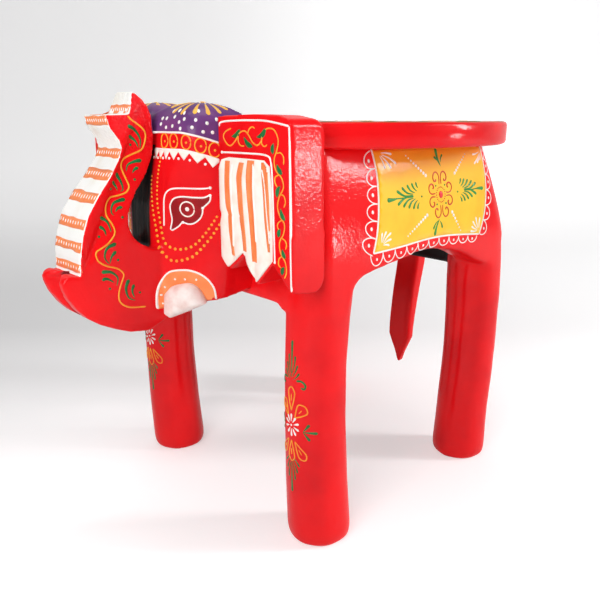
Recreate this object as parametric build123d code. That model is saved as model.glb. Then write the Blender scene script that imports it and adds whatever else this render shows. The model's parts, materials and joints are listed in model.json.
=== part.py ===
from build123d import *
import os

# Carved wooden stool in the shape of an elephant. All sizes in mm.
# It is drawn about the centre of the seat disc, head towards -X, left side
# towards -Y, and moved at the end so that the origin is the middle of its
# footprint on the floor.

# Seat
SEAT_TOP_Z = 305.0
SEAT_R = 152.4
SEAT_T = 17.0
SEAT_EDGE_R = 2.0

# Body box, measured at its widest level. A DROP is a height measured down
# from the top of the seat, so that everything above the legs stays together.
BODY_HALF_L = 119.0
BODY_HALF_W = 122.0
BODY_DROP = 90.0
BODY_CORNER_R = 18.0
LEAN_REAR = 12.0
LEAN_SIDE = 11.0
SIDE_PANEL_T = 26.0
FRONT_PANEL_T = 22.0
REAR_PANEL_T = 26.0
FRONT_PANEL_DROP = 120.0
REAR_PANEL_DROP = 125.0
ARCH_DROP = 89.0
ARCH_RISE = 16.0

# Legs
POST_L = 49.0
POST_W = 46.0
POST_CORNER_R = 2.0
POST_DROP = 125.0
FLARE_DROP = 170.0
FOOT_D = 48.0
FOOT_ROUND = 6.0
LEG_D = 43.0
LEG_SLIM_Z = 90.0

# Head
HEAD_HALF_W = 56.0
HEAD_L = 59.0
EYE_SETBACK = 2.0
EYE_DROP = 55.0
CAP_SETBACK = 11.0
CAP_DROP = 9.0
THROAT_DROP = 128.0
NECK_DROP = 118.0
DOME_RISE = 12.5
DOME_FALL = 9.5
DOME_SHOULDER_DROP = 21.0
DOME_FLAT_HALF_W = 30.0
FOREHEAD_HALF_W = 16.0

# Trunk
TRUNK_HALF_W = 20.5
TRUNK_LIP_HALF_W = 16.0
TRUNK_TIP_HALF_W = 10.6
TRUNK_JOINT_DROP = 83.0
TRUNK_JOINT_H = 52.0
TRUNK_REACH = 64.0
TRUNK_RISE = 102.2
LOBE_GAP = 13.0
LOBE_GAP_H = 27.0
LOBE_GAP_DEPTH = 13.0

# Ears
EAR_T = 27.0
EAR_RISE = 1.0
EAR_CORNER_R = 8.0
EAR_DROP = 98.5
PLEAT_STEP = 5.0
PLEAT_DROP = 100.5
PLEAT_NOTCH = 15.5
PLEAT_TOP_DROP = 23.0
PLEAT_EDGE = 18.0
PLEAT_GROOVE = 2.5

# Cheek bosses
BOSS_R = 19.0
BOSS_RISE = 9.0
BOSS_Y = 33.0
BOSS_LIP = 2.0

# Tail: it bows out behind the rump and comes back in at its tip
TAIL_W = 27.0
TAIL_T = 17.0
TAIL_END_T = 10.0
TAIL_TOP_GAP = 22.0
TAIL_BOW = 17.0
TAIL_BOW_DROP = 130.0
TAIL_END_BOW = 5.0
TAIL_DROP = 251.0
TAIL_POINT_H = 31.0

# Joinery
DOWEL_D = 8.0
DOWEL_L = 36.0
DOWEL_MARGIN = 20.0
NECK_DOWEL_D = 12.0
NECK_DOWEL_L = 50.0
TAIL_DOWEL_L = 28.0
TAIL_DOWEL_BITE = 11.0
DOWEL_END_GAP = 1.0
CLEAT_W = 18.0
CLEAT_H = 20.0
CLEAT_END_GAP = 8.0
SCREW_D = 4.0
SCREW_HEAD_D = 8.0
SCREW_HEAD_H = 2.4
SCREW_BITE = 11.0
SCREW_MARGIN = 18.0

# Sizes that follow from the ones above
SEAT_UNDER_Z = SEAT_TOP_Z - SEAT_T
BODY_WIDEST_Z = SEAT_TOP_Z - BODY_DROP
POST_LOW_Z = SEAT_TOP_Z - POST_DROP
FLARE_Z = SEAT_TOP_Z - FLARE_DROP
ARCH_TOP_Z = SEAT_TOP_Z - ARCH_DROP
ARCH_SPRING_Z = ARCH_TOP_Z - ARCH_RISE
FRONT_PANEL_Z = SEAT_TOP_Z - FRONT_PANEL_DROP
REAR_PANEL_Z = SEAT_TOP_Z - REAR_PANEL_DROP
POST_X = BODY_HALF_L - POST_L
POST_Y = BODY_HALF_W - POST_W
FRONT_X = -BODY_HALF_L
EAR_FACE_X = FRONT_X - EAR_T
THROAT_Z = SEAT_TOP_Z - THROAT_DROP
DOME_Z = SEAT_TOP_Z + DOME_RISE
TRUNK_JOINT_X = FRONT_X - HEAD_L
TRUNK_JOINT_Z = SEAT_TOP_Z - TRUNK_JOINT_DROP
LOBE_TIP_X = TRUNK_JOINT_X - TRUNK_REACH
TAIL_TOP_Z = SEAT_UNDER_Z - TAIL_TOP_GAP
TAIL_TIP_Z = SEAT_TOP_Z - TAIL_DROP
CLEAT_HALF_L = POST_X - CLEAT_END_GAP
ORIGIN_X = (LOBE_TIP_X + SEAT_R) / 2


def slab(x0, x1, y0, y1, z0, z1):
    """Box between six planes."""
    middle = Pos((x0 + x1) / 2, (y0 + y1) / 2, (z0 + z1) / 2)
    return middle * Box(abs(x1 - x0), abs(y1 - y0), abs(z1 - z0))


def body_form():
    """Outer shape of the body box: upright below, leaning in towards the seat."""
    wide = RectangleRounded(2 * BODY_HALF_L, 2 * BODY_HALF_W, BODY_CORNER_R)
    narrow = RectangleRounded(
        2 * BODY_HALF_L - LEAN_REAR, 2 * (BODY_HALF_W - LEAN_SIDE), BODY_CORNER_R
    )
    lower = extrude(Plane.XY.offset(FLARE_Z) * wide, BODY_WIDEST_Z - FLARE_Z)
    top = Pos(-LEAN_REAR / 2, 0, SEAT_UNDER_Z) * narrow
    upper = loft([Plane.XY.offset(BODY_WIDEST_Z) * wide, top], ruled=True)
    return lower + upper


def lean_at(z, lean):
    """How far a leaning face stands in from its widest line at height z."""
    return lean * max(0.0, z - BODY_WIDEST_Z) / (SEAT_UNDER_Z - BODY_WIDEST_Z)


# Dowel places: (centre, direction), and one list for each kind of joint
def side_panel_pegs(side):
    """Two dowels at each end of a side panel, along X."""
    middle_y = BODY_HALF_W - LEAN_SIDE / 2 - SIDE_PANEL_T / 2
    return [
        ((end * POST_X, side * middle_y, z), "X")
        for end in (-1, 1)
        for z in (BODY_WIDEST_Z + DOWEL_MARGIN, SEAT_UNDER_Z - DOWEL_MARGIN)
    ]


def end_panel_pegs(end):
    """Two dowels at each end of the front or rear panel, along Y."""
    if end < 0:
        middle_x = FRONT_X + FRONT_PANEL_T / 2
    else:
        middle_x = BODY_HALF_L - LEAN_REAR / 2 - REAR_PANEL_T / 2
    return [
        ((middle_x, side * POST_Y, z), "Y")
        for side in (-1, 1)
        for z in (BODY_WIDEST_Z, SEAT_UNDER_Z - 2 * DOWEL_MARGIN)
    ]


def ear_pegs(side):
    """Two dowels from a front leg into its ear, along X."""
    middle_y = POST_Y + POST_W / 2
    return [
        ((FRONT_X, side * middle_y, z), "X")
        for z in (BODY_WIDEST_Z + DOWEL_MARGIN, SEAT_UNDER_Z - DOWEL_MARGIN)
    ]


def neck_pegs():
    """Two thick dowels from the front panel into the head."""
    z = SEAT_UNDER_Z - (NECK_DROP - SEAT_T) / 2
    half = HEAD_HALF_W / 2
    middle_x = FRONT_X + FRONT_PANEL_T - NECK_DOWEL_L / 2
    return [((middle_x, side * half, z), "X") for side in (-1, 1)]


def trunk_pegs():
    """Two dowels, one above the other, from the head into the trunk."""
    z = TRUNK_JOINT_Z - TRUNK_JOINT_H / 2
    return [((TRUNK_JOINT_X, 0, z + step * DOWEL_D), "X") for step in (-1, 1)]


def tail_pegs():
    """Two dowels from the rear panel into the top of the tail."""
    z = (TAIL_TOP_Z + BODY_WIDEST_Z) / 2
    face_x = BODY_HALF_L - lean_at(z, LEAN_REAR)
    middle_x = face_x + TAIL_DOWEL_BITE - TAIL_DOWEL_L / 2
    return [((middle_x, 0, z + step * DOWEL_D), "X") for step in (-1, 1)]


def pegs(places, diameter, length):
    """Round pegs centred on the given places."""
    turned = {"X": (0, 90, 0), "Y": (90, 0, 0)}
    rods = []
    for centre, direction in places:
        rod = Cylinder(diameter / 2, length, rotation=turned[direction])
        rods.append(Pos(*centre) * rod)
    return rods


def bored(piece, places, diameter=DOWEL_D, length=DOWEL_L):
    """The piece with a blind hole for each peg, a little deeper than the peg."""
    for rod in pegs(places, diameter, length + 2 * DOWEL_END_GAP):
        piece = piece - rod
    return piece


def screw_places(side):
    """Feet of the seat screws on the underside of a cleat."""
    y = BODY_HALF_W - SIDE_PANEL_T - CLEAT_W / 2
    z = SEAT_UNDER_Z - CLEAT_H
    reach = CLEAT_HALF_L - SCREW_MARGIN
    return [(step * reach, side * y, z) for step in (-1, 0, 1)]


def seat():
    """Round plank, cut straight where the ears and the head stand against it."""
    disc = Pos(0, 0, SEAT_UNDER_Z) * Cylinder(
        SEAT_R, SEAT_T, align=(Align.CENTER, Align.CENTER, Align.MIN)
    )
    disc = disc - slab(FRONT_X, FRONT_X - SEAT_R, -SEAT_R, SEAT_R, 0, SEAT_TOP_Z + 1)
    rims = disc.edges().filter_by(GeomType.CIRCLE)
    disc = fillet(rims, SEAT_EDGE_R)
    for side in (-1, 1):
        for x, y, z in screw_places(side):
            hole = Cylinder(SCREW_D / 2, CLEAT_H + SCREW_BITE)
            disc = disc - Pos(x, y, z + (CLEAT_H + SCREW_BITE) / 2) * hole
    return disc


def leg(end, side):
    """Corner post with a round, slightly waisted leg below it."""
    x = end * (BODY_HALF_L - POST_L / 2)
    y = side * (BODY_HALF_W - POST_W / 2)

    def ring(z, diameter):
        circle = RectangleRounded(diameter, diameter, 0.49 * diameter)
        return Pos(x, y, z) * circle

    square = RectangleRounded(POST_L, POST_W, POST_CORNER_R)
    foot = loft([ring(0, FOOT_D - FOOT_ROUND), ring(FOOT_ROUND / 2, FOOT_D)], ruled=True)
    shaft = loft(
        [ring(FOOT_ROUND / 2, FOOT_D), ring(LEG_SLIM_Z, LEG_D), ring(FLARE_Z, LEG_D)]
    )
    flare = loft([ring(FLARE_Z, LEG_D), Pos(x, y, POST_LOW_Z) * square], ruled=True)
    form = body_form()
    post = form & slab(
        end * POST_X,
        end * BODY_HALF_L,
        side * POST_Y,
        side * BODY_HALF_W,
        POST_LOW_Z,
        SEAT_UNDER_Z,
    )
    whole = foot + shaft + (flare & form) + post
    whole = bored(whole, side_panel_pegs(side))
    whole = bored(whole, end_panel_pegs(end))
    if end < 0:
        whole = bored(whole, ear_pegs(side))
    return whole


def side_panel(side):
    """Rail between a front and a rear leg, with a shallow arch below."""
    rail = body_form() & slab(
        -POST_X,
        POST_X,
        side * (BODY_HALF_W - SIDE_PANEL_T),
        side * BODY_HALF_W,
        ARCH_SPRING_Z,
        SEAT_UNDER_Z,
    )
    arch = ThreePointArc((-POST_X, ARCH_SPRING_Z), (0, ARCH_TOP_Z), (POST_X, ARCH_SPRING_Z))
    chord = Line((POST_X, ARCH_SPRING_Z), (-POST_X, ARCH_SPRING_Z))
    opening = make_face([arch.edge(), chord.edge()])
    rail = rail - extrude(Plane.XZ * opening, 2 * BODY_HALF_W, both=True)
    return bored(rail, side_panel_pegs(side))


def front_panel():
    """Rail between the front legs; the head is glued to it."""
    rail = slab(FRONT_X, FRONT_X + FRONT_PANEL_T, -POST_Y, POST_Y, FRONT_PANEL_Z, SEAT_UNDER_Z)
    rail = bored(rail, end_panel_pegs(-1))
    return bored(rail, neck_pegs(), NECK_DOWEL_D, NECK_DOWEL_L)


def rear_panel():
    """Rail between the rear legs, leaning in like the rump."""
    inner_x = BODY_HALF_L - REAR_PANEL_T
    box = slab(inner_x, BODY_HALF_L, -POST_Y, POST_Y, REAR_PANEL_Z, SEAT_UNDER_Z)
    rail = bored(body_form() & box, end_panel_pegs(1))
    return bored(rail, tail_pegs(), length=TAIL_DOWEL_L)


def head_block():
    """Head: plan, side and front outlines cut through one block."""
    plan = Polyline(
        (FRONT_X, -HEAD_HALF_W),
        (EAR_FACE_X, -HEAD_HALF_W),
        (TRUNK_JOINT_X, -FOREHEAD_HALF_W),
        (TRUNK_JOINT_X, FOREHEAD_HALF_W),
        (EAR_FACE_X, HEAD_HALF_W),
        (FRONT_X, HEAD_HALF_W),
        close=True,
    )
    cap_x = TRUNK_JOINT_X + CAP_SETBACK
    eye = (TRUNK_JOINT_X + EYE_SETBACK, SEAT_TOP_Z - EYE_DROP)
    cap = (cap_x, SEAT_TOP_Z - CAP_DROP)
    brow = (cap_x + CAP_SETBACK / 3, DOME_Z - DOME_FALL / 3)
    crown = ((FRONT_X + cap_x) / 2, DOME_Z)
    nape = (FRONT_X, DOME_Z - DOME_FALL)
    dome = ThreePointArc(nape, crown, brow)
    face = Spline(brow, cap, eye)
    throat = Polyline(
        eye,
        (TRUNK_JOINT_X, TRUNK_JOINT_Z),
        (TRUNK_JOINT_X, THROAT_Z),
        (FRONT_X, SEAT_TOP_Z - NECK_DROP),
        nape,
    )
    shoulder_z = SEAT_TOP_Z - DOME_SHOULDER_DROP
    front = Polyline(
        (-HEAD_HALF_W, THROAT_Z),
        (-HEAD_HALF_W, shoulder_z),
        (-DOME_FLAT_HALF_W, DOME_Z),
        (DOME_FLAT_HALF_W, DOME_Z),
        (HEAD_HALF_W, shoulder_z),
        (HEAD_HALF_W, THROAT_Z),
        close=True,
    )
    side = make_face([dome.edge(), face.edge()] + throat.edges())
    from_above = extrude(make_face(plan.edges()), DOME_Z)
    from_side = extrude(Plane.XZ * side, HEAD_HALF_W, both=True)
    from_front = extrude(Plane.YZ * make_face(front.edges()), LOBE_TIP_X)
    block = from_above & from_side & from_front
    block = bored(block, neck_pegs(), NECK_DOWEL_D, NECK_DOWEL_L)
    return bored(block, trunk_pegs())


def on_trunk(forward, up):
    """Point of the trunk's side view, as shares of its reach and its rise."""
    return (TRUNK_JOINT_X - forward * TRUNK_REACH, TRUNK_JOINT_Z + up * TRUNK_RISE)


def trunk():
    """Thick board: S-shaped trunk with a lipped tip above two pointed lobes."""
    tip = on_trunk(0.11, 1.0)
    lip = on_trunk(0.26, 0.66)
    lobe = on_trunk(1.0, -0.11)
    nostril = on_trunk(0.82, -0.13)
    low = on_trunk(0.09, -0.57)
    joint_top = (TRUNK_JOINT_X, TRUNK_JOINT_Z)
    joint_end = (TRUNK_JOINT_X, TRUNK_JOINT_Z - TRUNK_JOINT_H)
    back = Spline(
        tip,
        on_trunk(-0.07, 0.81),
        on_trunk(-0.05, 0.62),
        on_trunk(0.16, 0.4),
        on_trunk(0.27, 0.18),
        on_trunk(0.18, 0.045),
        joint_top,
    )
    joint = Polyline(joint_top, joint_end, low)
    belly = Spline(
        low, on_trunk(0.32, -0.54), on_trunk(0.7, -0.42), on_trunk(0.94, -0.25), lobe
    )
    nose = Spline(
        nostril, on_trunk(0.77, 0.13), on_trunk(0.56, 0.38), on_trunk(0.3, 0.59), lip
    )
    beak = Polyline(lip, on_trunk(0.36, 0.78), on_trunk(0.39, 0.85), on_trunk(0.18, 0.85), tip)
    outline = [back.edge(), belly.edge(), Edge.make_line(lobe + (0,), nostril + (0,))]
    outline += [nose.edge()] + joint.edges() + beak.edges()
    board = extrude(Plane.XZ * make_face(outline), TRUNK_HALF_W, both=True)
    half = [
        (TRUNK_HALF_W, joint_end[1] - TRUNK_RISE),
        (TRUNK_HALF_W, on_trunk(0, 0.23)[1]),
        (TRUNK_LIP_HALF_W, on_trunk(0, 0.8)[1]),
        (TRUNK_TIP_HALF_W, tip[1]),
    ]
    taper = Polyline(*[(-y, z) for y, z in half], *half[::-1], close=True)
    board = board & extrude(Plane.YZ * make_face(taper.edges()), LOBE_TIP_X)
    gap = Polyline(
        (-LOBE_GAP / 2, lobe[1]),
        (0, lobe[1] - LOBE_GAP_H),
        (LOBE_GAP / 2, lobe[1]),
        (LOBE_GAP / 2, tip[1]),
        (-LOBE_GAP / 2, tip[1]),
        close=True,
    )
    mouth = Plane.YZ.offset(LOBE_TIP_X) * make_face(gap.edges())
    return bored(board - extrude(mouth, LOBE_GAP_DEPTH), trunk_pegs())


def ear(side):
    """Slab beside the head, pleated, with a zigzag lower edge."""
    inner = HEAD_HALF_W
    border = BODY_HALF_W - PLEAT_EDGE
    step = (border - inner) / 3
    top_z = SEAT_TOP_Z + EAR_RISE
    point_z = SEAT_TOP_Z - PLEAT_DROP
    notch_z = point_z + PLEAT_NOTCH
    outline = [
        (inner, top_z),
        (BODY_HALF_W, top_z),
        (BODY_HALF_W, SEAT_TOP_Z - EAR_DROP),
        (border, notch_z),
        (border - step, point_z),
        (border - 1.9 * step, notch_z),
        (inner + 0.3 * step, point_z + PLEAT_NOTCH / 4),
        (inner, point_z + PLEAT_NOTCH / 2),
    ]
    face = Polyline(*[(side * y, z) for y, z in outline], close=True)
    block = extrude(Plane.YZ.offset(FRONT_X) * make_face(face.edges()), -EAR_T)
    top_edges = block.edges().filter_by(Axis.X).group_by(Axis.Z)[-1]
    outer = top_edges.sort_by(Axis.Y)[-1 if side > 0 else 0]
    block = fillet(outer, EAR_CORNER_R)
    pleat_top_z = SEAT_TOP_Z - PLEAT_TOP_DROP
    sunk_x = EAR_FACE_X + PLEAT_STEP
    block = block - slab(EAR_FACE_X, sunk_x, side * inner, side * border, 0, pleat_top_z)
    for line in (1, 2):
        groove = Rot(0, 0, 45) * Box(PLEAT_GROOVE, PLEAT_GROOVE, pleat_top_z)
        block = block - Pos(sunk_x, side * (inner + line * step), pleat_top_z / 2) * groove
    return bored(block, ear_pegs(side))


def cheek_boss(side):
    """Low half-dome glued on the slanted cheek, reaching just below it."""
    run_x = EAR_FACE_X - TRUNK_JOINT_X
    run_y = HEAD_HALF_W - FOREHEAD_HALF_W
    foot_x = TRUNK_JOINT_X + run_x * (BOSS_Y - FOREHEAD_HALF_W) / run_y
    cheek = Plane(
        origin=(foot_x, side * BOSS_Y, THROAT_Z),
        x_dir=(0, 0, 1),
        z_dir=(-run_y, side * run_x, 0),
    )
    ball_r = (BOSS_R**2 + BOSS_RISE**2) / (2 * BOSS_RISE)
    ball = cheek.offset(BOSS_RISE - ball_r) * Sphere(ball_r)
    upper = Pos(0, 0, THROAT_Z - BOSS_LIP) * Box(
        2 * SEAT_TOP_Z, 2 * SEAT_TOP_Z, SEAT_TOP_Z, align=(Align.CENTER, Align.CENTER, Align.MIN)
    )
    outside = cheek.offset(ball_r) * Box(4 * ball_r, 4 * ball_r, 2 * ball_r)
    return ball & outside & upper


def tail():
    """Tapering bar on the rump, bowed, with a pointed lower end."""
    top_x = BODY_HALF_L - lean_at(TAIL_TOP_Z, LEAN_REAR)
    bow_x = BODY_HALF_L + TAIL_BOW
    end_x = BODY_HALF_L + TAIL_END_BOW
    bow_z = SEAT_TOP_Z - TAIL_BOW_DROP
    point_z = TAIL_TIP_Z + TAIL_POINT_H
    inner = Spline(
        (BODY_HALF_L, BODY_WIDEST_Z),
        (bow_x - TAIL_T / 2, bow_z),
        (end_x - TAIL_END_T / 2, point_z),
        (end_x - TAIL_END_T / 2, TAIL_TIP_Z),
    )
    outer = Spline(
        (end_x + TAIL_END_T / 2, TAIL_TIP_Z),
        (end_x + TAIL_END_T / 2, point_z),
        (bow_x + TAIL_T / 2, bow_z),
        (bow_x + TAIL_T / 2, BODY_WIDEST_Z),
        (top_x + TAIL_T, TAIL_TOP_Z),
    )
    tip = Line((end_x - TAIL_END_T / 2, TAIL_TIP_Z), (end_x + TAIL_END_T / 2, TAIL_TIP_Z))
    root = Polyline(
        (top_x + TAIL_T, TAIL_TOP_Z), (top_x, TAIL_TOP_Z), (BODY_HALF_L, BODY_WIDEST_Z)
    )
    side = make_face([inner.edge(), tip.edge(), outer.edge()] + root.edges())
    front = Polyline(
        (-TAIL_W / 2, TAIL_TOP_Z),
        (TAIL_W / 2, TAIL_TOP_Z),
        (TAIL_W / 2, point_z),
        (0, TAIL_TIP_Z),
        (-TAIL_W / 2, point_z),
        close=True,
    )
    bar = extrude(Plane.XZ * side, TAIL_W, both=True)
    bar = bar & extrude(Plane.YZ * make_face(front.edges()), BODY_HALF_L + 2 * TAIL_W)
    return bored(bar, tail_pegs(), length=TAIL_DOWEL_L)


def seat_cleat(side):
    """Batten glued inside a side panel, bored for the seat screws."""
    inner_y = side * (BODY_HALF_W - SIDE_PANEL_T)
    batten = slab(
        -CLEAT_HALF_L,
        CLEAT_HALF_L,
        inner_y - side * CLEAT_W,
        inner_y,
        SEAT_UNDER_Z - CLEAT_H,
        SEAT_UNDER_Z,
    )
    for x, y, z in screw_places(side):
        batten = batten - Pos(x, y, z + CLEAT_H / 2) * Cylinder(SCREW_D / 2, CLEAT_H)
    return batten


def seat_screws():
    """Six round-head screws up through the cleats into the seat."""
    screws = []
    low = (Align.CENTER, Align.CENTER, Align.MIN)
    for side in (-1, 1):
        for x, y, z in screw_places(side):
            shank = Pos(x, y, z) * Cylinder(SCREW_D / 2, CLEAT_H + SCREW_BITE, align=low)
            head = Pos(x, y, z - SCREW_HEAD_H) * Cylinder(
                SCREW_HEAD_D / 2, SCREW_HEAD_H, align=low
            )
            screws.append(shank + head)
    return Compound(screws)


def both_sides(places_of):
    """Dowel places of the left and right joints together."""
    return places_of(-1) + places_of(1)


pieces = {
    "seat": seat(),
    "front_panel": front_panel(),
    "rear_panel": rear_panel(),
    "head_block": head_block(),
    "trunk": trunk(),
    "tail": tail(),
    "seat_screws": seat_screws(),
    "side_panel_dowels": Compound(pegs(both_sides(side_panel_pegs), DOWEL_D, DOWEL_L)),
    "end_panel_dowels": Compound(pegs(both_sides(end_panel_pegs), DOWEL_D, DOWEL_L)),
    "ear_dowels": Compound(pegs(both_sides(ear_pegs), DOWEL_D, DOWEL_L)),
    "neck_dowels": Compound(pegs(neck_pegs(), NECK_DOWEL_D, NECK_DOWEL_L)),
    "trunk_dowels": Compound(pegs(trunk_pegs(), DOWEL_D, DOWEL_L)),
    "tail_dowels": Compound(pegs(tail_pegs(), DOWEL_D, TAIL_DOWEL_L)),
}
for side, name in ((-1, "left"), (1, "right")):
    pieces[f"{name}_side_panel"] = side_panel(side)
    pieces[f"{name}_ear"] = ear(side)
    pieces[f"{name}_cheek_boss"] = cheek_boss(side)
    pieces[f"{name}_seat_cleat"] = seat_cleat(side)
    pieces[f"front_{name}_leg"] = leg(-1, side)
    pieces[f"rear_{name}_leg"] = leg(1, side)

os.makedirs("parts", exist_ok=True)
for name, piece in pieces.items():
    export_step(Pos(-ORIGIN_X, 0, 0) * piece, f"parts/{name}.step")
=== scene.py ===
import bmesh
import bpy
import json
import math
import random
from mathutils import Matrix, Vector
from mathutils.bvhtree import BVHTree
from mathutils.geometry import delaunay_2d_cdt

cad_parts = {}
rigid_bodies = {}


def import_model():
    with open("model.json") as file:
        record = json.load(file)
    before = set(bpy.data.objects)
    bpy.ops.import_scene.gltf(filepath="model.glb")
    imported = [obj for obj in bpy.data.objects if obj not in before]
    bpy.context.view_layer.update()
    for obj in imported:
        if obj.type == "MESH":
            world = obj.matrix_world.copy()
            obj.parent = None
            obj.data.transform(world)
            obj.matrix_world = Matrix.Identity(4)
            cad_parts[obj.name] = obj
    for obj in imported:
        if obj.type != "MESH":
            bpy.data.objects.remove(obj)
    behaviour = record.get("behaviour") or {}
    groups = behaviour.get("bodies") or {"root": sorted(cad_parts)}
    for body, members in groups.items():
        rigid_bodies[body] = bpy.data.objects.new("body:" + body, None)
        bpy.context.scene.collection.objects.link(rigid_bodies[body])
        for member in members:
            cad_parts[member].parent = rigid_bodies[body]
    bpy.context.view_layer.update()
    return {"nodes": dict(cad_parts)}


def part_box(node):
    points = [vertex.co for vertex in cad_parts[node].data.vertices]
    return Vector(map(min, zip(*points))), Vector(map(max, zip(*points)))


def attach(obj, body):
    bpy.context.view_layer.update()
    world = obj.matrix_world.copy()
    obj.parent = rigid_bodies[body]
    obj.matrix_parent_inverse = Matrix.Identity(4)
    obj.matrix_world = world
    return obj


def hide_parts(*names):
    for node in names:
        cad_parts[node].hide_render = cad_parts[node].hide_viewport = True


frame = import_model()

# The model is written in millimetres about the centre of the seat, head
# towards -X, the elephant's left side towards -Y, heights from the floor.
MM = 0.001
seat_low, seat_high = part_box("seat")
SEAT_R = seat_high.y / MM
SEAT_TOP = seat_high.z / MM
SEAT_UNDER = seat_low.z / MM
CENTRE_X = seat_high.x - seat_high.y
BODY_FRONT = (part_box("front_left_leg")[0].x - CENTRE_X) / MM
BODY_REAR = (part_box("rear_left_leg")[1].x - CENTRE_X) / MM
BODY_HALF_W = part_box("left_side_panel")[0].y / -MM
LEFT, RIGHT = -1, 1
SIDE_NAMES = {LEFT: "left", RIGHT: "right"}


def at(x, y, z):
    """A point in the frame, in metres, from millimetres about the seat's centre."""
    return Vector((CENTRE_X + x * MM, y * MM, z * MM))


# ---------------------------------------------------------------- mesh tools


def added(name, data):
    """A new object of the scene that holds a mesh, a lamp or a camera."""
    obj = bpy.data.objects.new(name, data)
    bpy.context.scene.collection.objects.link(obj)
    return obj


def new_object(name, points, faces):
    """A mesh object from points in metres and faces, which are turned outward."""
    mesh = bpy.data.meshes.new(name)
    mesh.from_pydata([tuple(p) for p in points], [], faces)
    bm = bmesh.new()
    bm.from_mesh(mesh)
    bmesh.ops.recalc_face_normals(bm, faces=bm.faces)
    bm.to_mesh(mesh)
    bm.free()
    return added(name, mesh)


def loft(name, rings):
    """A closed solid through rings of equally many points."""
    count = len(rings[0])
    points = [p for ring in rings for p in ring]
    faces = []
    for level in range(len(rings) - 1):
        base = level * count
        for i in range(count):
            j = (i + 1) % count
            faces.append((base + i, base + j, base + count + j, base + count + i))
    faces.append(tuple(range(count)))
    faces.append(tuple(range((len(rings) - 1) * count, len(rings) * count)))
    return new_object(name, points, faces)


def applied(obj):
    """Applies the object's modifiers to its mesh."""
    graph = bpy.context.evaluated_depsgraph_get()
    mesh = bpy.data.meshes.new_from_object(obj.evaluated_get(graph))
    old = obj.data
    obj.modifiers.clear()
    obj.data = mesh
    bpy.data.meshes.remove(old)
    return obj


def cut(obj, *cutters):
    """Takes the cutters away from the object, and deletes them."""
    for cutter in cutters:
        modifier = obj.modifiers.new("cut", "BOOLEAN")
        modifier.object = cutter
        modifier.operation = "DIFFERENCE"
        modifier.solver = "EXACT"
        applied(obj)
        bpy.data.objects.remove(cutter)
    return obj


def fused(name, parts, voxel, rounds):
    """One smooth skin over several solids: voxel union, then smoothing."""
    bm = bmesh.new()
    for part in parts:
        bm.from_mesh(part.data)
        bpy.data.objects.remove(part)
    mesh = bpy.data.meshes.new(name)
    bm.to_mesh(mesh)
    bm.free()
    obj = added(name, mesh)
    remesh = obj.modifiers.new("remesh", "REMESH")
    remesh.mode = "VOXEL"
    remesh.voxel_size = voxel * MM
    remesh.use_smooth_shade = True
    smooth = obj.modifiers.new("smooth", "SMOOTH")
    smooth.factor = 0.5
    smooth.iterations = rounds
    return applied(obj)


def spline(points, steps, closed=False):
    """Catmull-Rom curve through points of any dimension."""
    count = len(points)
    spans = count if closed else count - 1
    result = []
    for i in range(spans):
        if closed:
            a, b, c, d = (points[(i + k) % count] for k in (-1, 0, 1, 2))
        else:
            a, b = points[max(i - 1, 0)], points[i]
            c, d = points[i + 1], points[min(i + 2, count - 1)]
        for s in range(steps):
            t = s / steps
            weights = (
                (-t + 2 * t**2 - t**3) / 2,
                (2 - 5 * t**2 + 3 * t**3) / 2,
                (t + 4 * t**2 - 3 * t**3) / 2,
                (-(t**2) + t**3) / 2,
            )
            corners = zip(a, b, c, d)
            result.append(tuple(sum(w * p for w, p in zip(weights, q)) for q in corners))
    if not closed:
        result.append(tuple(points[-1]))
    return result


def evenly(points, count):
    """Resamples a polyline to equally spaced points."""
    lengths = [0]
    for a, b in zip(points, points[1:]):
        lengths.append(lengths[-1] + math.dist(a, b))
    result = []
    k = 0
    for i in range(count):
        want = lengths[-1] * i / (count - 1)
        while k < len(points) - 2 and lengths[k + 1] < want:
            k += 1
        span = lengths[k + 1] - lengths[k]
        t = (want - lengths[k]) / span if span else 0
        result.append(tuple(a + (b - a) * t for a, b in zip(points[k], points[k + 1])))
    return result


def length_of(path):
    """Length of a polyline."""
    return sum(math.dist(a, b) for a, b in zip(path, path[1:]))


def oval(u, v, wide, tall, count, shift=0, closed=False):
    """Points round an oval, from +u on; shift is in steps, closed repeats the first point."""
    turns = [math.tau * (i + shift) / count for i in range(count + closed)]
    return [(u + wide * math.cos(turn), v + tall * math.sin(turn)) for turn in turns]


def lerp(table, x):
    """Linear interpolation in a short list of (x, value) pairs."""
    if x <= table[0][0]:
        return table[0][1]
    for (x0, v0), (x1, v1) in zip(table, table[1:]):
        if x <= x1:
            return v0 + (v1 - v0) * (x - x0) / (x1 - x0)
    return table[-1][1]


def clamp(value):
    """The value held between 0 and 1."""
    return max(0, min(1, value))


def prism(name, outline, place, low, high):
    """A solid between two copies of a flat outline; place(u, v, w) gives its points."""
    return loft(name, [[place(u, v, w) for u, v in outline] for w in (low, high)])


def seen_from_side(u, v, w):
    """Outline in X and Z, depth along Y."""
    return at(u, w, v)


def seen_from_front(u, v, w):
    """Outline in Y and Z, depth along X."""
    return at(w, u, v)


CORNER_STEPS = 12


def rounded_box(x0, x1, y0, y1, radii, z):
    """Plan of a box with its own radius at each corner, counted from +X +Y."""
    points = []
    corners = ((x1, y1), (x0, y1), (x0, y0), (x1, y0))
    for quarter, ((x, y), radius) in enumerate(zip(corners, radii)):
        cx = x - radius if x == x1 else x + radius
        cy = y - radius if y == y1 else y + radius
        for step in range(CORNER_STEPS + 1):
            angle = math.radians(90 * quarter + 90 * step / CORNER_STEPS)
            points.append(at(cx + radius * math.cos(angle), cy + radius * math.sin(angle), z))
    return points


# -------------------------------------------------------------------- body

BODY_WIDEST = 215
LEG_X, LEG_Y = 94.5, 99
FRONT_CORNER, REAR_CORNER = 12, 27
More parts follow.
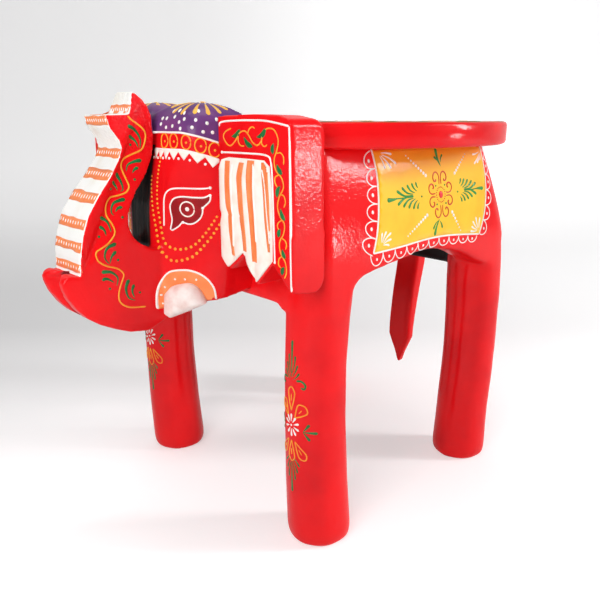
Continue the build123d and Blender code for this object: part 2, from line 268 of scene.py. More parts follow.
# How far the rear and the sides lean in from the widest line to the seat.
REAR_LEAN, SIDE_LEAN = 13, 11.5


def body_ring(z):
    """Plan of the body at height z, leaning in above its widest line."""
    rise = clamp((z - BODY_WIDEST) / (SEAT_UNDER - BODY_WIDEST))
    rear = BODY_REAR - REAR_LEAN * rise**1.2
    half = BODY_HALF_W - SIDE_LEAN * rise**1.35
    front, back = FRONT_CORNER + 3 * rise, REAR_CORNER + 16.5 * rise
    return rounded_box(BODY_FRONT, rear, -half, half, (back, front, front, back), z)


# The legs, as (height, value): radius, bow of the middle along X, and extra radius.
LEG_PROFILE = [
    (0, 20.8), (1.5, 22.6), (4.5, 23.6), (10, 23.9), (50, 22.6), (95, 21.3), (140, 20.9),
    (170, 21.4), (195, 22.5), (212, 22.8),
]
FRONT_LEG_BOW = [(0, -0.4), (50, -3.7), (100, -5.3), (140, -5.1), (175, -3.2), (205, -0.3)]
REAR_LEG_BOW = [
    (0, -2.5), (30, -1.2), (55, 0.3), (80, 3), (110, 4.8), (155, 4.3), (190, 2), (205, 0.3),
]
FRONT_SWELL = [(0, 0), (60, 0.6), (120, 1), (185, 1), (205, 0)]
REAR_SWELL = [
    (0, 0), (40, 0.2), (80, 1.4), (110, 1.8), (157, 2.3), (175, 1.8), (195, 0.6), (205, 0),
]
LEG_POINTS = 52
LEG_LEVELS = [0, 1.5, 4.5, 10] + [20 + 8 * step for step in range(25)]


def leg_bow(end, z):
    """How far a leg's middle stands off its straight line, along X."""
    return lerp(FRONT_LEG_BOW if end < 0 else REAR_LEG_BOW, z)


def leg(end, side, seed):
    """Round hand-carved leg that turns into the body's corner at its top."""
    phase = random.Random(seed).uniform(0, math.tau)
    rings = []
    for z in LEG_LEVELS:
        radius = lerp(LEG_PROFILE, z) + lerp(FRONT_SWELL if end < 0 else REAR_SWELL, z)
        bow = leg_bow(end, z)
        square = clamp((z - 130) / 70) ** 1.5
        ring = []
        for i in range(LEG_POINTS):
            angle = math.tau * (i + 0.5) / LEG_POINTS
            facet = 0.18 * math.cos(7 * angle + phase) + 0.2 * math.cos(3 * angle + phase + z / 60)
            facet *= 1 - square
            outward = end * math.cos(angle) > 0 and side * math.sin(angle) > 0
            corner = (FRONT_CORNER if end < 0 else REAR_CORNER) if outward else radius
            corner = radius + (min(corner, radius) - radius) * square
            flat = radius - corner
            reach = rounded_reach(angle, flat, corner) + facet
            x, y = end * LEG_X + bow, side * LEG_Y
            ring.append(at(x + reach * math.cos(angle), y + reach * math.sin(angle), z))
        rings.append(ring)
    return loft("leg", rings)


def rounded_reach(angle, flat, corner):
    """Distance from the centre of a rounded square to its edge in one direction."""
    c, s = abs(math.cos(angle)), abs(math.sin(angle))
    if s * (flat + corner) <= c * flat:
        return (flat + corner) / c
    if c * (flat + corner) <= s * flat:
        return (flat + corner) / s
    middle = flat * (c + s)
    return middle + math.sqrt(max(0, middle**2 - 2 * flat**2 + corner**2))


def mirrored(half):
    """A closed symmetrical outline from its half, listed from the outside in."""
    return [(-u, v) for u, v in half] + [(u, v) for u, v in reversed(half) if u > 0]


# Openings of the body between the legs: the side's outline, and halves of the ends'.
SIDE_ARCH = [
    (-92, 150), (-91, 184), (-88, 193), (-82, 199.5), (-75, 202.3), (-67, 203.8), (-46, 207),
    (-22, 210), (0, 211), (12, 210), (25, 207.5), (38, 204), (50, 200), (60, 195), (70, 191),
    (84, 188), (92, 182), (92, 150),
]
ARCH_BLEND = ((-90, 0, 172), (104, 76, 216))
FRONT_GAP = [(88, 150), (86, 170), (84.5, 178), (82.5, 181.2), (79, 183), (70, 183.5), (0, 183.5)]
REAR_GAP = [(88, 150), (86, 168), (82, 176), (76, 179.5), (68, 180), (0, 180)]


def body_shell():
    """Hollow body with its four legs, as one carved and painted skin."""
    levels = [180 + 6 * i for i in range(18)] + [SEAT_UNDER]
    block = loft("body", [body_ring(z) for z in levels])
    inside = rounded_box(-95, 92, -94, 94, (8, 8, 8, 8), 0)
    low, high = Vector((0, 0, 150 * MM)), Vector((0, 0, (SEAT_UNDER - 6) * MM))
    hollow = loft("hollow", [[p + low for p in inside], [p + high for p in inside]])
    arch = prism("arch", SIDE_ARCH, seen_from_side, -200, 200)
    front_gap = prism("front_gap", mirrored(FRONT_GAP), seen_from_front, -200, 0)
    rear_gap = prism("rear_gap", mirrored(REAR_GAP), seen_from_front, 0, 200)
    cut(block, hollow, arch, front_gap, rear_gap)
    legs = [leg(end, side, 10 + 2 * end + side) for end in (-1, 1) for side in (LEFT, RIGHT)]
    skin = fused("body_and_legs", [block] + legs, 2, 6)
    return eased(skin, ARCH_BLEND)


def eased(obj, zone):
    """Softens the piece further inside a box, as a carver's rasp does."""
    low, high = at(*zone[0]), at(*zone[1])
    bm = bmesh.new()
    bm.from_mesh(obj.data)
    chosen = [
        v for v in bm.verts
        if low.x < v.co.x < high.x and low.z < v.co.z < high.z and abs(v.co.y) > high.y
    ]
    axes = dict.fromkeys(("use_axis_x", "use_axis_y", "use_axis_z"), True)
    for _ in range(14):
        bmesh.ops.smooth_vert(bm, verts=chosen, factor=0.5, **axes)
    bm.to_mesh(obj.data)
    bm.free()
    return obj


body = body_shell()

# --------------------------------------------------------------------- head


def head_path(z):
    """Half plan of the head at height z, from the neck to the middle of the face."""
    front = lerp([(176, -176), (225, -176), (250, -175), (280, -170), (292, -167)], z)
    brow = lerp([(176, 15), (240, 16), (270, 24), (292, 33)], z)
    cheek_x = lerp([(176, -162), (250, -162.5), (292, -162)], z)
    cheek_y = lerp([(176, 35), (240, 36.5), (292, 46)], z)
    side = lerp([(176, 47), (190, 52), (215, 55), (240, 56)], z)
    return [
        (-112, side),
        (-132, side),
        (-147, side - 1.5),
        (cheek_x, cheek_y),
        (front + 1, brow),
        (front, brow * 0.45),
    ]


def head_ring(z):
    """Plan of the head at height z, from the left neck round the face and back."""
    half = head_path(z)
    path = [(x, -y) for x, y in half] + [(x, y) for x, y in reversed(half)]
    return [at(x, y, z) for x, y in evenly(spline(path, 10), 90)]


CROWN_BASE, CROWN_TOP = 296.5, 317.9
# Height of the purple cap's lower line over the face.
CAP_LINE = 298.2


# A crown dome's edge along the head's middle and back: x, and y towards its side.
CROWN_INNER = [(-167, -4), (-140, -6), (-118.5, -6), (-118.5, 56)]


def crown_lobe(side):
    """One half of the twin-domed crown: a cushion over half the head's plan."""
    half = [(x, side * y) for x, y in head_path(CROWN_BASE)]
    half += [(x, side * y) for x, y in CROWN_INNER]
    half[0] = (-120, side * 56)
    outline = evenly(spline(half, 6, closed=True), 80)
    cx, cy = -142, side * 27
    rings = []
    for step in range(14):
        rise = math.sin(math.pi / 2 * step / 13.5)
        shrink = (1 - rise**2.5) ** 0.5
        height = CROWN_BASE - 3 + (CROWN_TOP + 0.4 * side - CROWN_BASE + 3) * rise
        ring = [at(cx + (x - cx) * shrink, cy + (y - cy) * shrink, height) for x, y in outline]
        rings.append(ring)
    return loft("crown", rings)


THROAT = [
    (-260, 100), (-260, 168), (-181, 172), (-171, 178.5), (-152, 184), (-118, 189), (-100, 189),
    (-100, 100),
]


def throat_cut():
    """Underside of the head, rising from the trunk to the neck."""
    return prism("throat", THROAT, seen_from_side, -80, 80)


# The trunk seen from the side: from its tip down its back, under it, and up its front.
TRUNK_BACK = [
    (-180.9, 324.2), (-174.9, 319), (-172.2, 314.5), (-170.8, 309), (-170.3, 297.5),
    (-171, 291.5), (-173.4, 283), (-177.3, 275.1), (-182.6, 267.3), (-188.2, 260.3),
    (-192.3, 253.3), (-195, 246.1), (-195.4, 238.7), (-192.8, 231.6), (-188.3, 226.5),
    (-180, 221.5), (-165, 220.5),
]
TRUNK_BELLY = [
    (-160, 178), (-174, 167), (-184, 162.7), (-198.3, 165), (-210, 170), (-220.5, 175.5),
    (-227.5, 180.5), (-233.5, 187), (-239, 195.5), (-241.6, 202.5), (-242.2, 206.8),
]
TRUNK_NOSE = [
    (-240.4, 209.8), (-236.5, 211.2), (-231, 209), (-230.4, 222.3), (-227.5, 235.6),
    (-222.8, 247.9), (-214.2, 260.4), (-205.4, 270.6), (-197.5, 282), (-194.6, 289),
    (-196.4, 294), (-201.8, 301.7), (-203.8, 309.3), (-187, 309.8), (-181.6, 324.6),
]
TRUNK_WIDTH = [
    (160, 16.5), (175, 20.2), (221, 21.2), (246, 20.5), (269, 19.5), (287, 17.5), (299.6, 15.2),
    (307, 17.2), (309.9, 15.8), (325, 10.8),
]


def trunk_half(x, z):
    """Half the trunk's width; the lobes under its front taper to their tips."""
    half = lerp(TRUNK_WIDTH, z)
    if z < 215:
        half -= 3.4 * clamp((-222 - x) / 18) ** 1.4
    return half


def trunk_board():
    """The raised trunk: an S-shaped board, narrowing to its lipped tip."""
    outline = TRUNK_BACK + TRUNK_BELLY + TRUNK_NOSE
    rings = []
    for share, pull in ((-1, 0.012), (-0.955, 0), (0.955, 0), (1, 0.012)):
        ring = []
        for x, z in outline:
            half = trunk_half(x, z)
            ring.append(at(x + (-200 - x) * pull, share * half, z + (230 - z) * pull))
        rings.append(ring)
    return loft("trunk", rings)


# The wedge between the lobes: height, where it starts and half its width in front.
LOBE_GAP = [(150, -210, 9), (185, -210, 11), (204, -216, 13), (208, -226, 14), (214, -232, 14)]


def lobe_gap():
    """The wedge that parts the two pointed lobes."""
    rings = []
    for z, back, half in LOBE_GAP:
        rings.append([at(back, 0, z), at(-246, half, z), at(-246, -half, z)])
    return loft("lobe_gap", rings)


def head():
    """Head, crown and trunk as one carved skin."""
    skull = loft("skull", [head_ring(z) for z in list(range(172, 296, 8)) + [CROWN_BASE + 2]])
    cut(skull, throat_cut())
    board = cut(trunk_board(), lobe_gap())
    return fused("head_and_trunk", [skull, crown_lobe(LEFT), crown_lobe(RIGHT), board], 1.1, 3)


elephant_head = head()

# --------------------------------------------------------------------- ears

# Where the ear's front and back lie, and how far its back edge is rounded.
EAR_FACE = BODY_FRONT - 27
EAR_BACK = BODY_FRONT + 0.5
EAR_ROUND = 12
EAR_CORNER = (126, 203.5)
EAR_OUTLINE = [
    (55, 216), (55, 308), (60, 308.8), (90, 309.4), (112, 308.8), (122.5, 306.6), (125, 303),
    (125.2, 290), (125.2, 250), EAR_CORNER, (107.5, 219.5), (92, 203.5), (79, 221), (63, 209),
]


def ear(side):
    """Slab of one ear with its pointed hem, rounded over at the back."""
    thick = EAR_BACK - EAR_FACE
    rings = []
    for step in range(13):
        back = thick * step / 12
        over = clamp((back - thick + EAR_ROUND) / EAR_ROUND)
        fall = EAR_ROUND * (1 - math.sqrt(1 - 0.99 * over**2))
        ring = []
        for y, z in EAR_OUTLINE:
            if (y, z) == EAR_CORNER:
                z += fall - 4.5 * back / thick
            ring.append(at(EAR_FACE + back, side * y, min(z, 309.6 - fall)))
        rings.append(ring)
    return fused(f"{SIDE_NAMES[side]}_ear_slab", [loft("ear", rings)], 1.1, 2)


PLEAT_OUTLINE = [
    (56, 276), (60, 281.5), (66, 283.2), (84, 283), (101, 282.6), (106, 279), (107.6, 266),
    (108.2, 245), (107.8, 221.8), (92.2, 206), (79, 223.4), (63.2, 211.4), (56, 217.5),
    (55.6, 240), (57.6, 245), (55.8, 249),
]
PLEAT_VALLEYS = [
    [(282, 55), (205, 53)], [(282, 65), (268, 63.8), (246, 65.5), (220, 67.8)],
    [(282, 79), (268, 76.8), (246, 78.2), (222, 81)],
    [(282, 89.2), (268, 87), (246, 89), (222, 90.6)],
    [(282, 101.6), (260, 102.8), (237, 104.4), (228, 106.2)], [(282, 112), (205, 114)],
]


def pleat_relief(y, z):
    """Height of the carved pleats above the ear's face."""
    valleys = [lerp(sorted(line), z) for line in PLEAT_VALLEYS]
    for a, b in zip(valleys, valleys[1:]):
        if a <= y <= b:
            ridge = math.sin(math.pi * (y - a) / (b - a)) ** 0.7
            dip = 0.5 * math.exp(-(((z - 247) / 1.6) ** 2)) if y < 77 else 0
            return 0.6 + 1.4 * ridge - dip
    return 0.5


ears = {side: ear(side) for side in (LEFT, RIGHT)}

# --------------------------------------------------------------------- seat


def seat():
    """Thick round plank with a softened edge, cut straight at the front."""
    edge = [(0, 2.6), (0.8, 0.9), (2.6, 0)]
    levels = [(SEAT_UNDER + rise, inset) for rise, inset in edge]
    levels += [(SEAT_TOP - rise, inset) for rise, inset in reversed(edge)]
    rings = []
    for z, inset in levels:
        ring = []
        for i in range(180):
            angle = math.tau * i / 180
            x, y = (SEAT_R - inset) * math.cos(angle), (SEAT_R - inset) * math.sin(angle)
            ring.append(at(max(x, BODY_FRONT + inset * 0.4), y, z))
        rings.append(ring)
    return loft("seat_plank", rings)


seat_plank = seat()

# --------------------------------------------------------------------- tail

TAIL_LINE = [
    (118, 266, 16), (128, 240, 17), (135.5, 205, 17), (136.5, 170, 16.5), (130, 135, 14.5),
    (125.5, 105, 12.5), (124, 84, 11), (124.5, 54, 8),
]
TAIL_HALF_W = 13.5


def tail():
    """Tapering bar with planed edges, bowed, with a chisel point."""
    rings = []
    for x, z, thick in spline(TAIL_LINE, 6):
        half = TAIL_HALF_W * clamp(max(0.06, (z - 53) / 31))
        bevel = min(2.5, half * 0.5)
        deep = thick / 2
        corners = [(-deep + bevel, -half), (deep - bevel, -half), (deep, -half + bevel)]
        corners += [(dx, -y) for dx, y in reversed(corners)]
        corners += [(-deep, half - bevel), (-deep, -half + bevel)]
        rings.append([at(x + dx, y, z) for dx, y in corners])
    return fused("tail_bar", [loft("tail", rings)], 1.4, 2)


tail_bar = tail()

# -------------------------------------------------------------- paint tools
# Ornament is painted as thin raised beads, drops and filled fields. Each is
# drawn in flat millimetres on a canvas, which throws it onto a carved piece.

trees = {}


def surface(obj):
    """The piece's mesh, ready for ray casting."""
    if obj.name not in trees:
        corners = [v.co for v in obj.data.vertices]
        faces = [p.vertices for p in obj.data.polygons]
        trees[obj.name] = BVHTree.FromPolygons(corners, faces)
    return trees[obj.name]


class Canvas:
    """Flat coordinates (u, v) thrown onto a piece; ray(u, v) gives start and aim."""

    def __init__(self, name, obj, ray):
        self.name = name
        self.tree = surface(obj)
        self.ray = ray

    def spot(self, u, v, lift):
        """The point of the surface at (u, v), lifted off it by some millimetres."""
        start, aim = self.ray(u, v)
        hit, normal, _, _ = self.tree.ray_cast(start, aim)
        if hit is None:
            return None
        if normal.dot(aim) > 0:
            normal = -normal
        return hit + normal * lift * MM


def side_canvas(name, obj, side):
    """Canvas on the left or right side: u along X, v up."""
    return Canvas(name, obj, lambda u, v: (at(u, side * 200, v), Vector((0, -side, 0))))


def front_canvas(name, obj, side, start):
    """Canvas seen from the front, from X = start: u from the middle to a side, v up."""
    return Canvas(name, obj, lambda u, v: (at(start, side * u, v), Vector((1, 0, 0))))


def top_canvas(name, obj, side=RIGHT):
    """Canvas seen from above: u towards the tail, v towards a side."""
    return Canvas(name, obj, lambda u, v: (at(u, side * v, 400), Vector((0, 0, -1))))


coats = {}


def coat(canvas, colour):
    """Points and faces of one colour on one canvas."""
    return coats.setdefault((canvas.name, colour), ([], []))


def together(points, reach=4):
    """Whether these points of the surface all exist and lie within so many millimetres."""
    return None not in points and all((p - points[0]).length < reach * MM for p in points)


# A brushed bead: the distance between its sections, in millimetres, and one
# section as (share of the half width, share of the height).
BEAD_STEP = 0.9
BEAD = ((-1, -0.25), (-0.72, 0.6), (0, 1), (0.72, 0.6), (1, -0.25))


def stroke(canvas, colour, path, width, relief=0.5, swell=None, smooth=5):
    """A brushed bead along a path; swell(t) is its relative width."""
    path = spline(path, smooth) if smooth else path
    length = length_of(path)
    count = max(5, round(length / BEAD_STEP))
    line = evenly(path, count)
    points, faces = coat(canvas, colour)
    last = None
    for k, (u, v) in enumerate(line):
        a, b = line[max(k - 1, 0)], line[min(k + 1, count - 1)]
        du, dv = b[0] - a[0], b[1] - a[1]
        norm = math.hypot(du, dv) or 1
        near = min(k, count - 1 - k) / (count - 1) * length
        end = clamp(near / (width / 2))
        wide = swell(k / (count - 1)) if swell else 1
        share = max(0.2, math.sqrt(1 - (1 - end) ** 2)) * wide
        half = width / 2 * share
        high = relief * share**0.5
        row = [
            canvas.spot(u - dv / norm * half * s, v + du / norm * half * s, high * h)
            for s, h in BEAD
        ]
        if not together(row, width + 2.5):
            last = None
            continue
        base = len(points)
        points.extend(row)
        if last is not None and together([points[last + 2], row[2]]):
            for i in range(len(BEAD) - 1):
                faces.append((last + i, last + i + 1, base + i + 1, base + i))
        last = base


def drop(canvas, colour, tail_end, head_end, width, bend=0, relief=0.5):
    """A brush drop: thin at its tail, full and round at its head, a little bent."""
    (u0, v0), (u1, v1) = tail_end, head_end
    middle = ((u0 + u1) / 2 - (v1 - v0) * bend, (v0 + v1) / 2 + (u1 - u0) * bend)
    path = [tail_end, middle, head_end]
    stroke(canvas, colour, path, width, relief, lambda t: 0.22 + 0.78 * t**1.1)


# Rings of a domed dot: (share of the radius, share of the height).
DOME = ((0.55, 0.85), (0.88, 0.5), (1, -0.3))
DOME_SIDES = 10


def dot(canvas, colour, u, v, radius, relief=0.55, tall=1):
    """A domed dot of paint."""
    points, faces = coat(canvas, colour)
    dome = [canvas.spot(u, v, relief)]
    rim = oval(0, 0, radius, radius, DOME_SIDES)
    for share, height in DOME:
        lift = relief * height
        dome += [canvas.spot(u + du * share, v + dv * share * tall, lift) for du, dv in rim]
    if not together(dome, 2 * radius * max(1, tall) + 1):
        return
    first = len(points) + 1
    points.extend(dome)
    for i in range(DOME_SIDES):
        j = (i + 1) % DOME_SIDES
        faces.append((first - 1, first + i, first + j))
        for level in range(len(DOME) - 1):
            a, b = (first + level * DOME_SIDES + k for k in (i, j))
            faces.append((a, b, b + DOME_SIDES, a + DOME_SIDES))


def inside(outline, u, v):
    """Whether a point lies inside a closed outline."""
    result = False
    for (u0, v0), (u1, v1) in zip(outline, outline[1:] + outline[:1]):
        if (v0 > v) != (v1 > v) and u < u0 + (u1 - u0) * (v - v0) / (v1 - v0):
            result = not result
    return result


def field(canvas, colour, outline, step=2.5, lift=0.18):
    """A filled area that follows the surface, its edge turned down into it."""
    outline = list(outline)
    border = []
    for a, b in zip(outline, outline[1:] + outline[:1]):
        parts = max(1, math.ceil(math.dist(a, b) / (step * 0.6)))
        for i in range(parts):
            border.append(tuple(p + (q - p) * i / parts for p, q in zip(a, b)))
    us, vs = [p[0] for p in border], [p[1] for p in border]
    grid = []
    row = 0
    v = min(vs) + step / 2
    while v < max(vs):
        u = min(us) + step * (0.25 + 0.5 * (row % 2))
        while u < max(us):
            if inside(border, u, v) and min(math.dist((u, v), p) for p in border) > step * 0.45:
                grid.append((u, v))
            u += step
        v += step * 0.87
        row += 1
    flat = border + grid
    edges = [(i, (i + 1) % len(border)) for i in range(len(border))]
    corners = [Vector(p) for p in flat]
    spots, _, shapes, origins, _, _ = delaunay_2d_cdt(corners, edges, [], 1, 1e-5)
    height = lift if callable(lift) else (lambda u, v: lift)
    points, faces = coat(canvas, colour)
    base = len(points)
    raised = [canvas.spot(p.x, p.y, height(p.x, p.y)) for p in spots]
    points.extend(p if p is not None else Vector((0, 0, 0)) for p in raised)
    for shape in shapes:
        if together([raised[i] for i in shape], 3 * step):
            faces.append(tuple(base + i for i in shape))
    place = {k: i for i, known in enumerate(origins) for k in known}
    skirt = len(points)
    rim = [place.get(i) for i in range(len(border))]
    for i, (u, v) in enumerate(border):
        low = canvas.spot(u, v, -0.4)
        points.append(low if low is not None else Vector((0, 0, 0)))
    for i in range(len(border)):
        j = (i + 1) % len(border)
        if rim[i] is None or rim[j] is None:
            continue
        if together([raised[rim[i]], raised[rim[j]], points[skirt + i], points[skirt + j]]):
            faces.append((base + rim[i], base + rim[j], skirt + j, skirt + i))


def lay_coats(canvas_name):
    """Makes the painted pieces of one canvas, one for each colour."""
    for (name, colour), (points, faces) in list(coats.items()):
        if name != canvas_name or not faces:
            continue
        del coats[name, colour]
        obj = new_object(f"{name}_{colour}", points, faces)
        bm = bmesh.new()
        bm.from_mesh(obj.data)
        loose = [v for v in bm.verts if not v.link_faces]
        bmesh.ops.delete(bm, geom=loose, context="VERTS")
        bm.to_mesh(obj.data)
        bm.free()
        dress(obj, PAINTS[colour], "cream_paint")


# ---------------------------------------------------------------- materials


class Finish:
    """A material under construction, with short names for its nodes."""

    def __init__(self, name, roughness=0.45, gloss=0.1, coat=0, coat_roughness=0.08, metal=0):
        self.material = bpy.data.materials.new(name)
        self.material.use_nodes = True
        self.tree = self.material.node_tree
        self.shader = self.tree.nodes["Principled BSDF"]
        self.shader.inputs["Roughness"].default_value = roughness
        self.shader.inputs["Specular IOR Level"].default_value = gloss
        self.shader.inputs["Coat Weight"].default_value = coat
        self.shader.inputs["Coat Roughness"].default_value = coat_roughness
        self.shader.inputs["Metallic"].default_value = metal
        self.place = self.tree.nodes.new("ShaderNodeTexCoord").outputs["Object"]
        self.normal = None

    def put(self, socket, value):
        """Sets a socket to a number or colour, or links it."""
        if isinstance(value, bpy.types.NodeSocket):
            self.tree.links.new(value, socket)
        elif isinstance(value, tuple):
            socket.default_value = (*value, 1) if len(value) == 3 else value
        else:
            socket.default_value = value

    def maths(self, operation, a, b=0):
        """One arithmetic step."""
        node = self.tree.nodes.new("ShaderNodeMath")
        node.operation = operation
        self.put(node.inputs[0], a)
        self.put(node.inputs[1], b)
        return node.outputs[0]

    def noise(self, per_metre, detail=3, stretch=(1, 1, 1)):
        """Cloudy values about 0.5, with so many features to the metre."""
        mapping = self.tree.nodes.new("ShaderNodeMapping")
        self.put(mapping.inputs["Vector"], self.place)
        mapping.inputs["Scale"].default_value = stretch
        node = self.tree.nodes.new("ShaderNodeTexNoise")
        self.put(node.inputs["Vector"], mapping.outputs[0])
        node.inputs["Scale"].default_value = per_metre
        node.inputs["Detail"].default_value = detail
        return node.outputs["Fac"]

    def between(self, value, low, high):
        """0 where the value is low, 1 where it is high, smooth between."""
        node = self.tree.nodes.new("ShaderNodeMapRange")
        node.interpolation_type = "SMOOTHSTEP"
        self.put(node.inputs["Value"], value)
        node.inputs["From Min"].default_value = low
        node.inputs["From Max"].default_value = high
        return node.outputs[0]

    def rising(self, value, low, high):
        """The same for a length, with both limits in millimetres."""
        return self.between(value, low * MM, high * MM)

    def above(self, value, limit):
        """1 where a length is over so many millimetres, 0 elsewhere."""
        return self.maths("GREATER_THAN", value, limit * MM)

    def below(self, value, limit):
        """1 where a length is under so many millimetres, 0 elsewhere."""
        return self.maths("LESS_THAN", value, limit * MM)

    def product(self, *factors):
        """All the factors multiplied."""
        result = factors[0]
        for factor in factors[1:]:
            result = self.maths("MULTIPLY", result, factor)
        return result

    def mix(self, share, a, b):
        """Blend of two colours."""
        node = self.tree.nodes.new("ShaderNodeMix")
        node.data_type = "RGBA"
        self.put(node.inputs["Factor"], share)
        self.put(node.inputs["A"], a)
        self.put(node.inputs["B"], b)
        return node.outputs["Result"]

    def axis(self, name):
        """One coordinate of the surface point, in metres."""
        node = self.tree.nodes.new("ShaderNodeSeparateXYZ")
        self.put(node.inputs[0], self.place)
        return node.outputs[name]

    def facing(self, name):
        """One part of the surface's normal."""
        geometry = self.tree.nodes.new("ShaderNodeNewGeometry")
        node = self.tree.nodes.new("ShaderNodeSeparateXYZ")
        self.put(node.inputs[0], geometry.outputs["Normal"])
        return node.outputs[name]

    def bump(self, height, depth_mm, strength=1):
        """Adds relief of so many millimetres."""
        node = self.tree.nodes.new("ShaderNodeBump")
        node.inputs["Strength"].default_value = strength
        node.inputs["Distance"].default_value = depth_mm * MM
        self.put(node.inputs["Height"], height)
        if self.normal is not None:
            self.put(node.inputs["Normal"], self.normal)
        self.normal = node.outputs[0]

    def done(self, colour):
        """Links colour and relief, and returns the material."""
        self.put(self.shader.inputs["Base Color"], colour)
        if self.normal is not None:
            self.put(self.shader.inputs["Normal"], self.normal)
            self.put(self.shader.inputs["Coat Normal"], self.normal)
        return self.material


RED = (0.88, 0.006, 0.009)
DEEP_RED = (0.66, 0.004, 0.008)
WHITE = (0.93, 0.92, 0.89)
BLACK = (0.005, 0.004, 0.004)
PURPLE = (0.12, 0.040, 0.165)
ORANGE = (0.92, 0.235, 0.07)
GOLD = (0.93, 0.43, 0.035)
GREEN = (0.007, 0.14, 0.034)
PETAL = (0.60, 0.070, 0.005)

# Roughness, specular level, coat weight and coat roughness of the red enamel.
ENAMEL_GLOSS = (0.45, 0.04, 0.28, 0.07)


def enamel_base(finish):
    """Red gloss paint laid by hand: clouded colour and an uneven, pimpled film."""
    clouds = finish.between(finish.noise(14, 4), 0.4, 0.8)
    colour = finish.mix(clouds, RED, DEEP_RED)
    finish.bump(finish.noise(38, 2), 0.55, 0.5)
    finish.bump(finish.noise(480, 2), 0.2, 0.7)
    return colour


def red_enamel(name):
    """The plain red gloss paint."""
    finish = Finish(name, *ENAMEL_GLOSS)
    return finish.done(enamel_base(finish))


def body_finish():
    """Red gloss outside, brushed black inside the hollow."""
    finish = Finish("red_enamel_body", *ENAMEL_GLOSS)
    colour = enamel_base(finish)
    x = finish.maths("ABSOLUTE", finish.maths("ADD", finish.axis("X"), -CENTRE_X))
    y = finish.maths("ABSOLUTE", finish.axis("Y"))
    off_leg = finish.maths("MAXIMUM", finish.below(x, 71), finish.below(y, 76))
    ragged = finish.maths("ADD", finish.axis("Z"), finish.product(finish.noise(60), 8 * MM))
    high = finish.rising(ragged, 176, 180)
    inner = finish.product(finish.below(x, 97), finish.below(y, 97), off_leg, high)
    return finish.done(finish.mix(inner, colour, BLACK))


def head_finish():
    """Red head with purple cap, black throat with painted sheen in its streaks, painted shade
    between the lobes, and the trunk's white front.
    """
    finish = Finish("head_paints", *ENAMEL_GLOSS)
    colour = enamel_base(finish)
    x = finish.maths("ADD", finish.axis("X"), -CENTRE_X)
    z = finish.axis("Z")
    rasped = finish.product(finish.rising(x, -168, -172), finish.rising(z, 272, 296))
    finish.bump(finish.product(rasped, finish.noise(480, 1)), 1.1, 0.8)
    wobble = finish.product(finish.maths("ADD", finish.noise(45), -0.5), 1.6 * MM)
    sideways = finish.maths("ABSOLUTE", finish.facing("Y"))
    across = finish.maths("ABSOLUTE", finish.axis("Y"))
    tip = finish.product(finish.above(z, 300), 0.5)
    ahead = finish.maths("LESS_THAN", finish.maths("SUBTRACT", finish.facing("X"), tip), -0.15)
    front = finish.product(
        finish.maths("LESS_THAN", sideways, 0.74),
        ahead,
        finish.below(x, -178.5),
        finish.above(x, -232.4),
        finish.above(finish.maths("ADD", z, wobble), 210.2),
    )
    streaks = finish.between(finish.noise(90, 4, (1, 1, 0.2)), 0.4, 0.9)
    colour = finish.mix(front, colour, finish.mix(streaks, WHITE, (0.86, 0.80, 0.71)))
    slope = finish.product(finish.rising(x, -172, -142), 6 * MM)
    over_line = finish.above(finish.maths("ADD", z, slope), CAP_LINE)
    cap = finish.product(over_line, finish.above(x, -171.5))
    clouds = finish.between(finish.noise(30, 3), 0.3, 0.7)
    colour = finish.mix(cap, colour, finish.mix(clouds, PURPLE, (0.20, 0.055, 0.21)))
    # Painted shade: dark red in the narrow gap between the trunk's two lobes.
    middle = finish.rising(across, 6.5, 4.5)
    painted_gap_shade = finish.product(middle, finish.below(z, 210), finish.below(x, -213))
    colour = finish.mix(painted_gap_shade, colour, (0.16, 0.003, 0.005))
    back_of_trunk = finish.product(
        finish.maths("GREATER_THAN", finish.facing("X"), 0.25),
        finish.below(x, -165),
        finish.rising(across, 14.8, 13.6),
    )
    near_middle = finish.rising(across, 13.5, 11.5)
    face = finish.product(finish.above(x, -177.8), finish.below(x, -160), near_middle)
    black = finish.maths("MAXIMUM", back_of_trunk, face)
    throat = finish.product(finish.below(z, 290), finish.above(z, 221), black)
    # Black paint in the gap between trunk and face, streaked brown-black: the streaks stand partly
    # for brush marks and partly for painted sheen.
    streaks_and_sheen = finish.between(finish.noise(300, 3, (1, 1, 0.15)), 0.4, 0.7)
    streaked_black = finish.mix(streaks_and_sheen, BLACK, (0.05, 0.025, 0.018))
    return finish.done(finish.mix(throat, colour, streaked_black))


def paint(name, colour, shade, roughness=0.45, coat=0.25):
    """Thick hand-laid paint: brush marks, slight change of depth, soft gloss."""
    finish = Finish(name, roughness, 0.14, coat, 0.2)
    finish.bump(finish.noise(420, 3), 0.12, 0.5)
    return finish.done(finish.mix(finish.between(finish.noise(110, 3), 0.35, 0.75), colour, shade))


# Each paint's colour and shade, with its roughness and coat where they are its own.
TONES = {
    "white": (WHITE, (0.88, 0.85, 0.80)),
    "cream": ((0.94, 0.90, 0.83), (0.90, 0.80, 0.70)),
    "ray": ((0.86, 0.50, 0.08), (0.84, 0.42, 0.06)),
    "orange": (ORANGE, (0.93, 0.30, 0.11)),
    "gold": (GOLD, (0.90, 0.30, 0.03)),
    "green": (GREEN, (0.010, 0.22, 0.055)),
    "leaf": ((0.010, 0.23, 0.030), (0.02, 0.33, 0.05)),
    "petal": (PETAL, (0.60, 0.04, 0.01)),
    "crimson": ((0.26, 0.002, 0.005), (0.36, 0.003, 0.007), 0.45, 0.2),
    "red": ((0.82, 0.008, 0.012), (0.6, 0.004, 0.01), 0.42, 0.36),
    "pink": ((0.88, 0.80, 0.76), (0.76, 0.56, 0.51), 0.5, 0.1),
    "black": (BLACK, (0.03, 0.025, 0.025), 0.5, 0.2),
}
PAINTS = {name: paint(f"{name}_paint", *tones) for name, tones in TONES.items()}


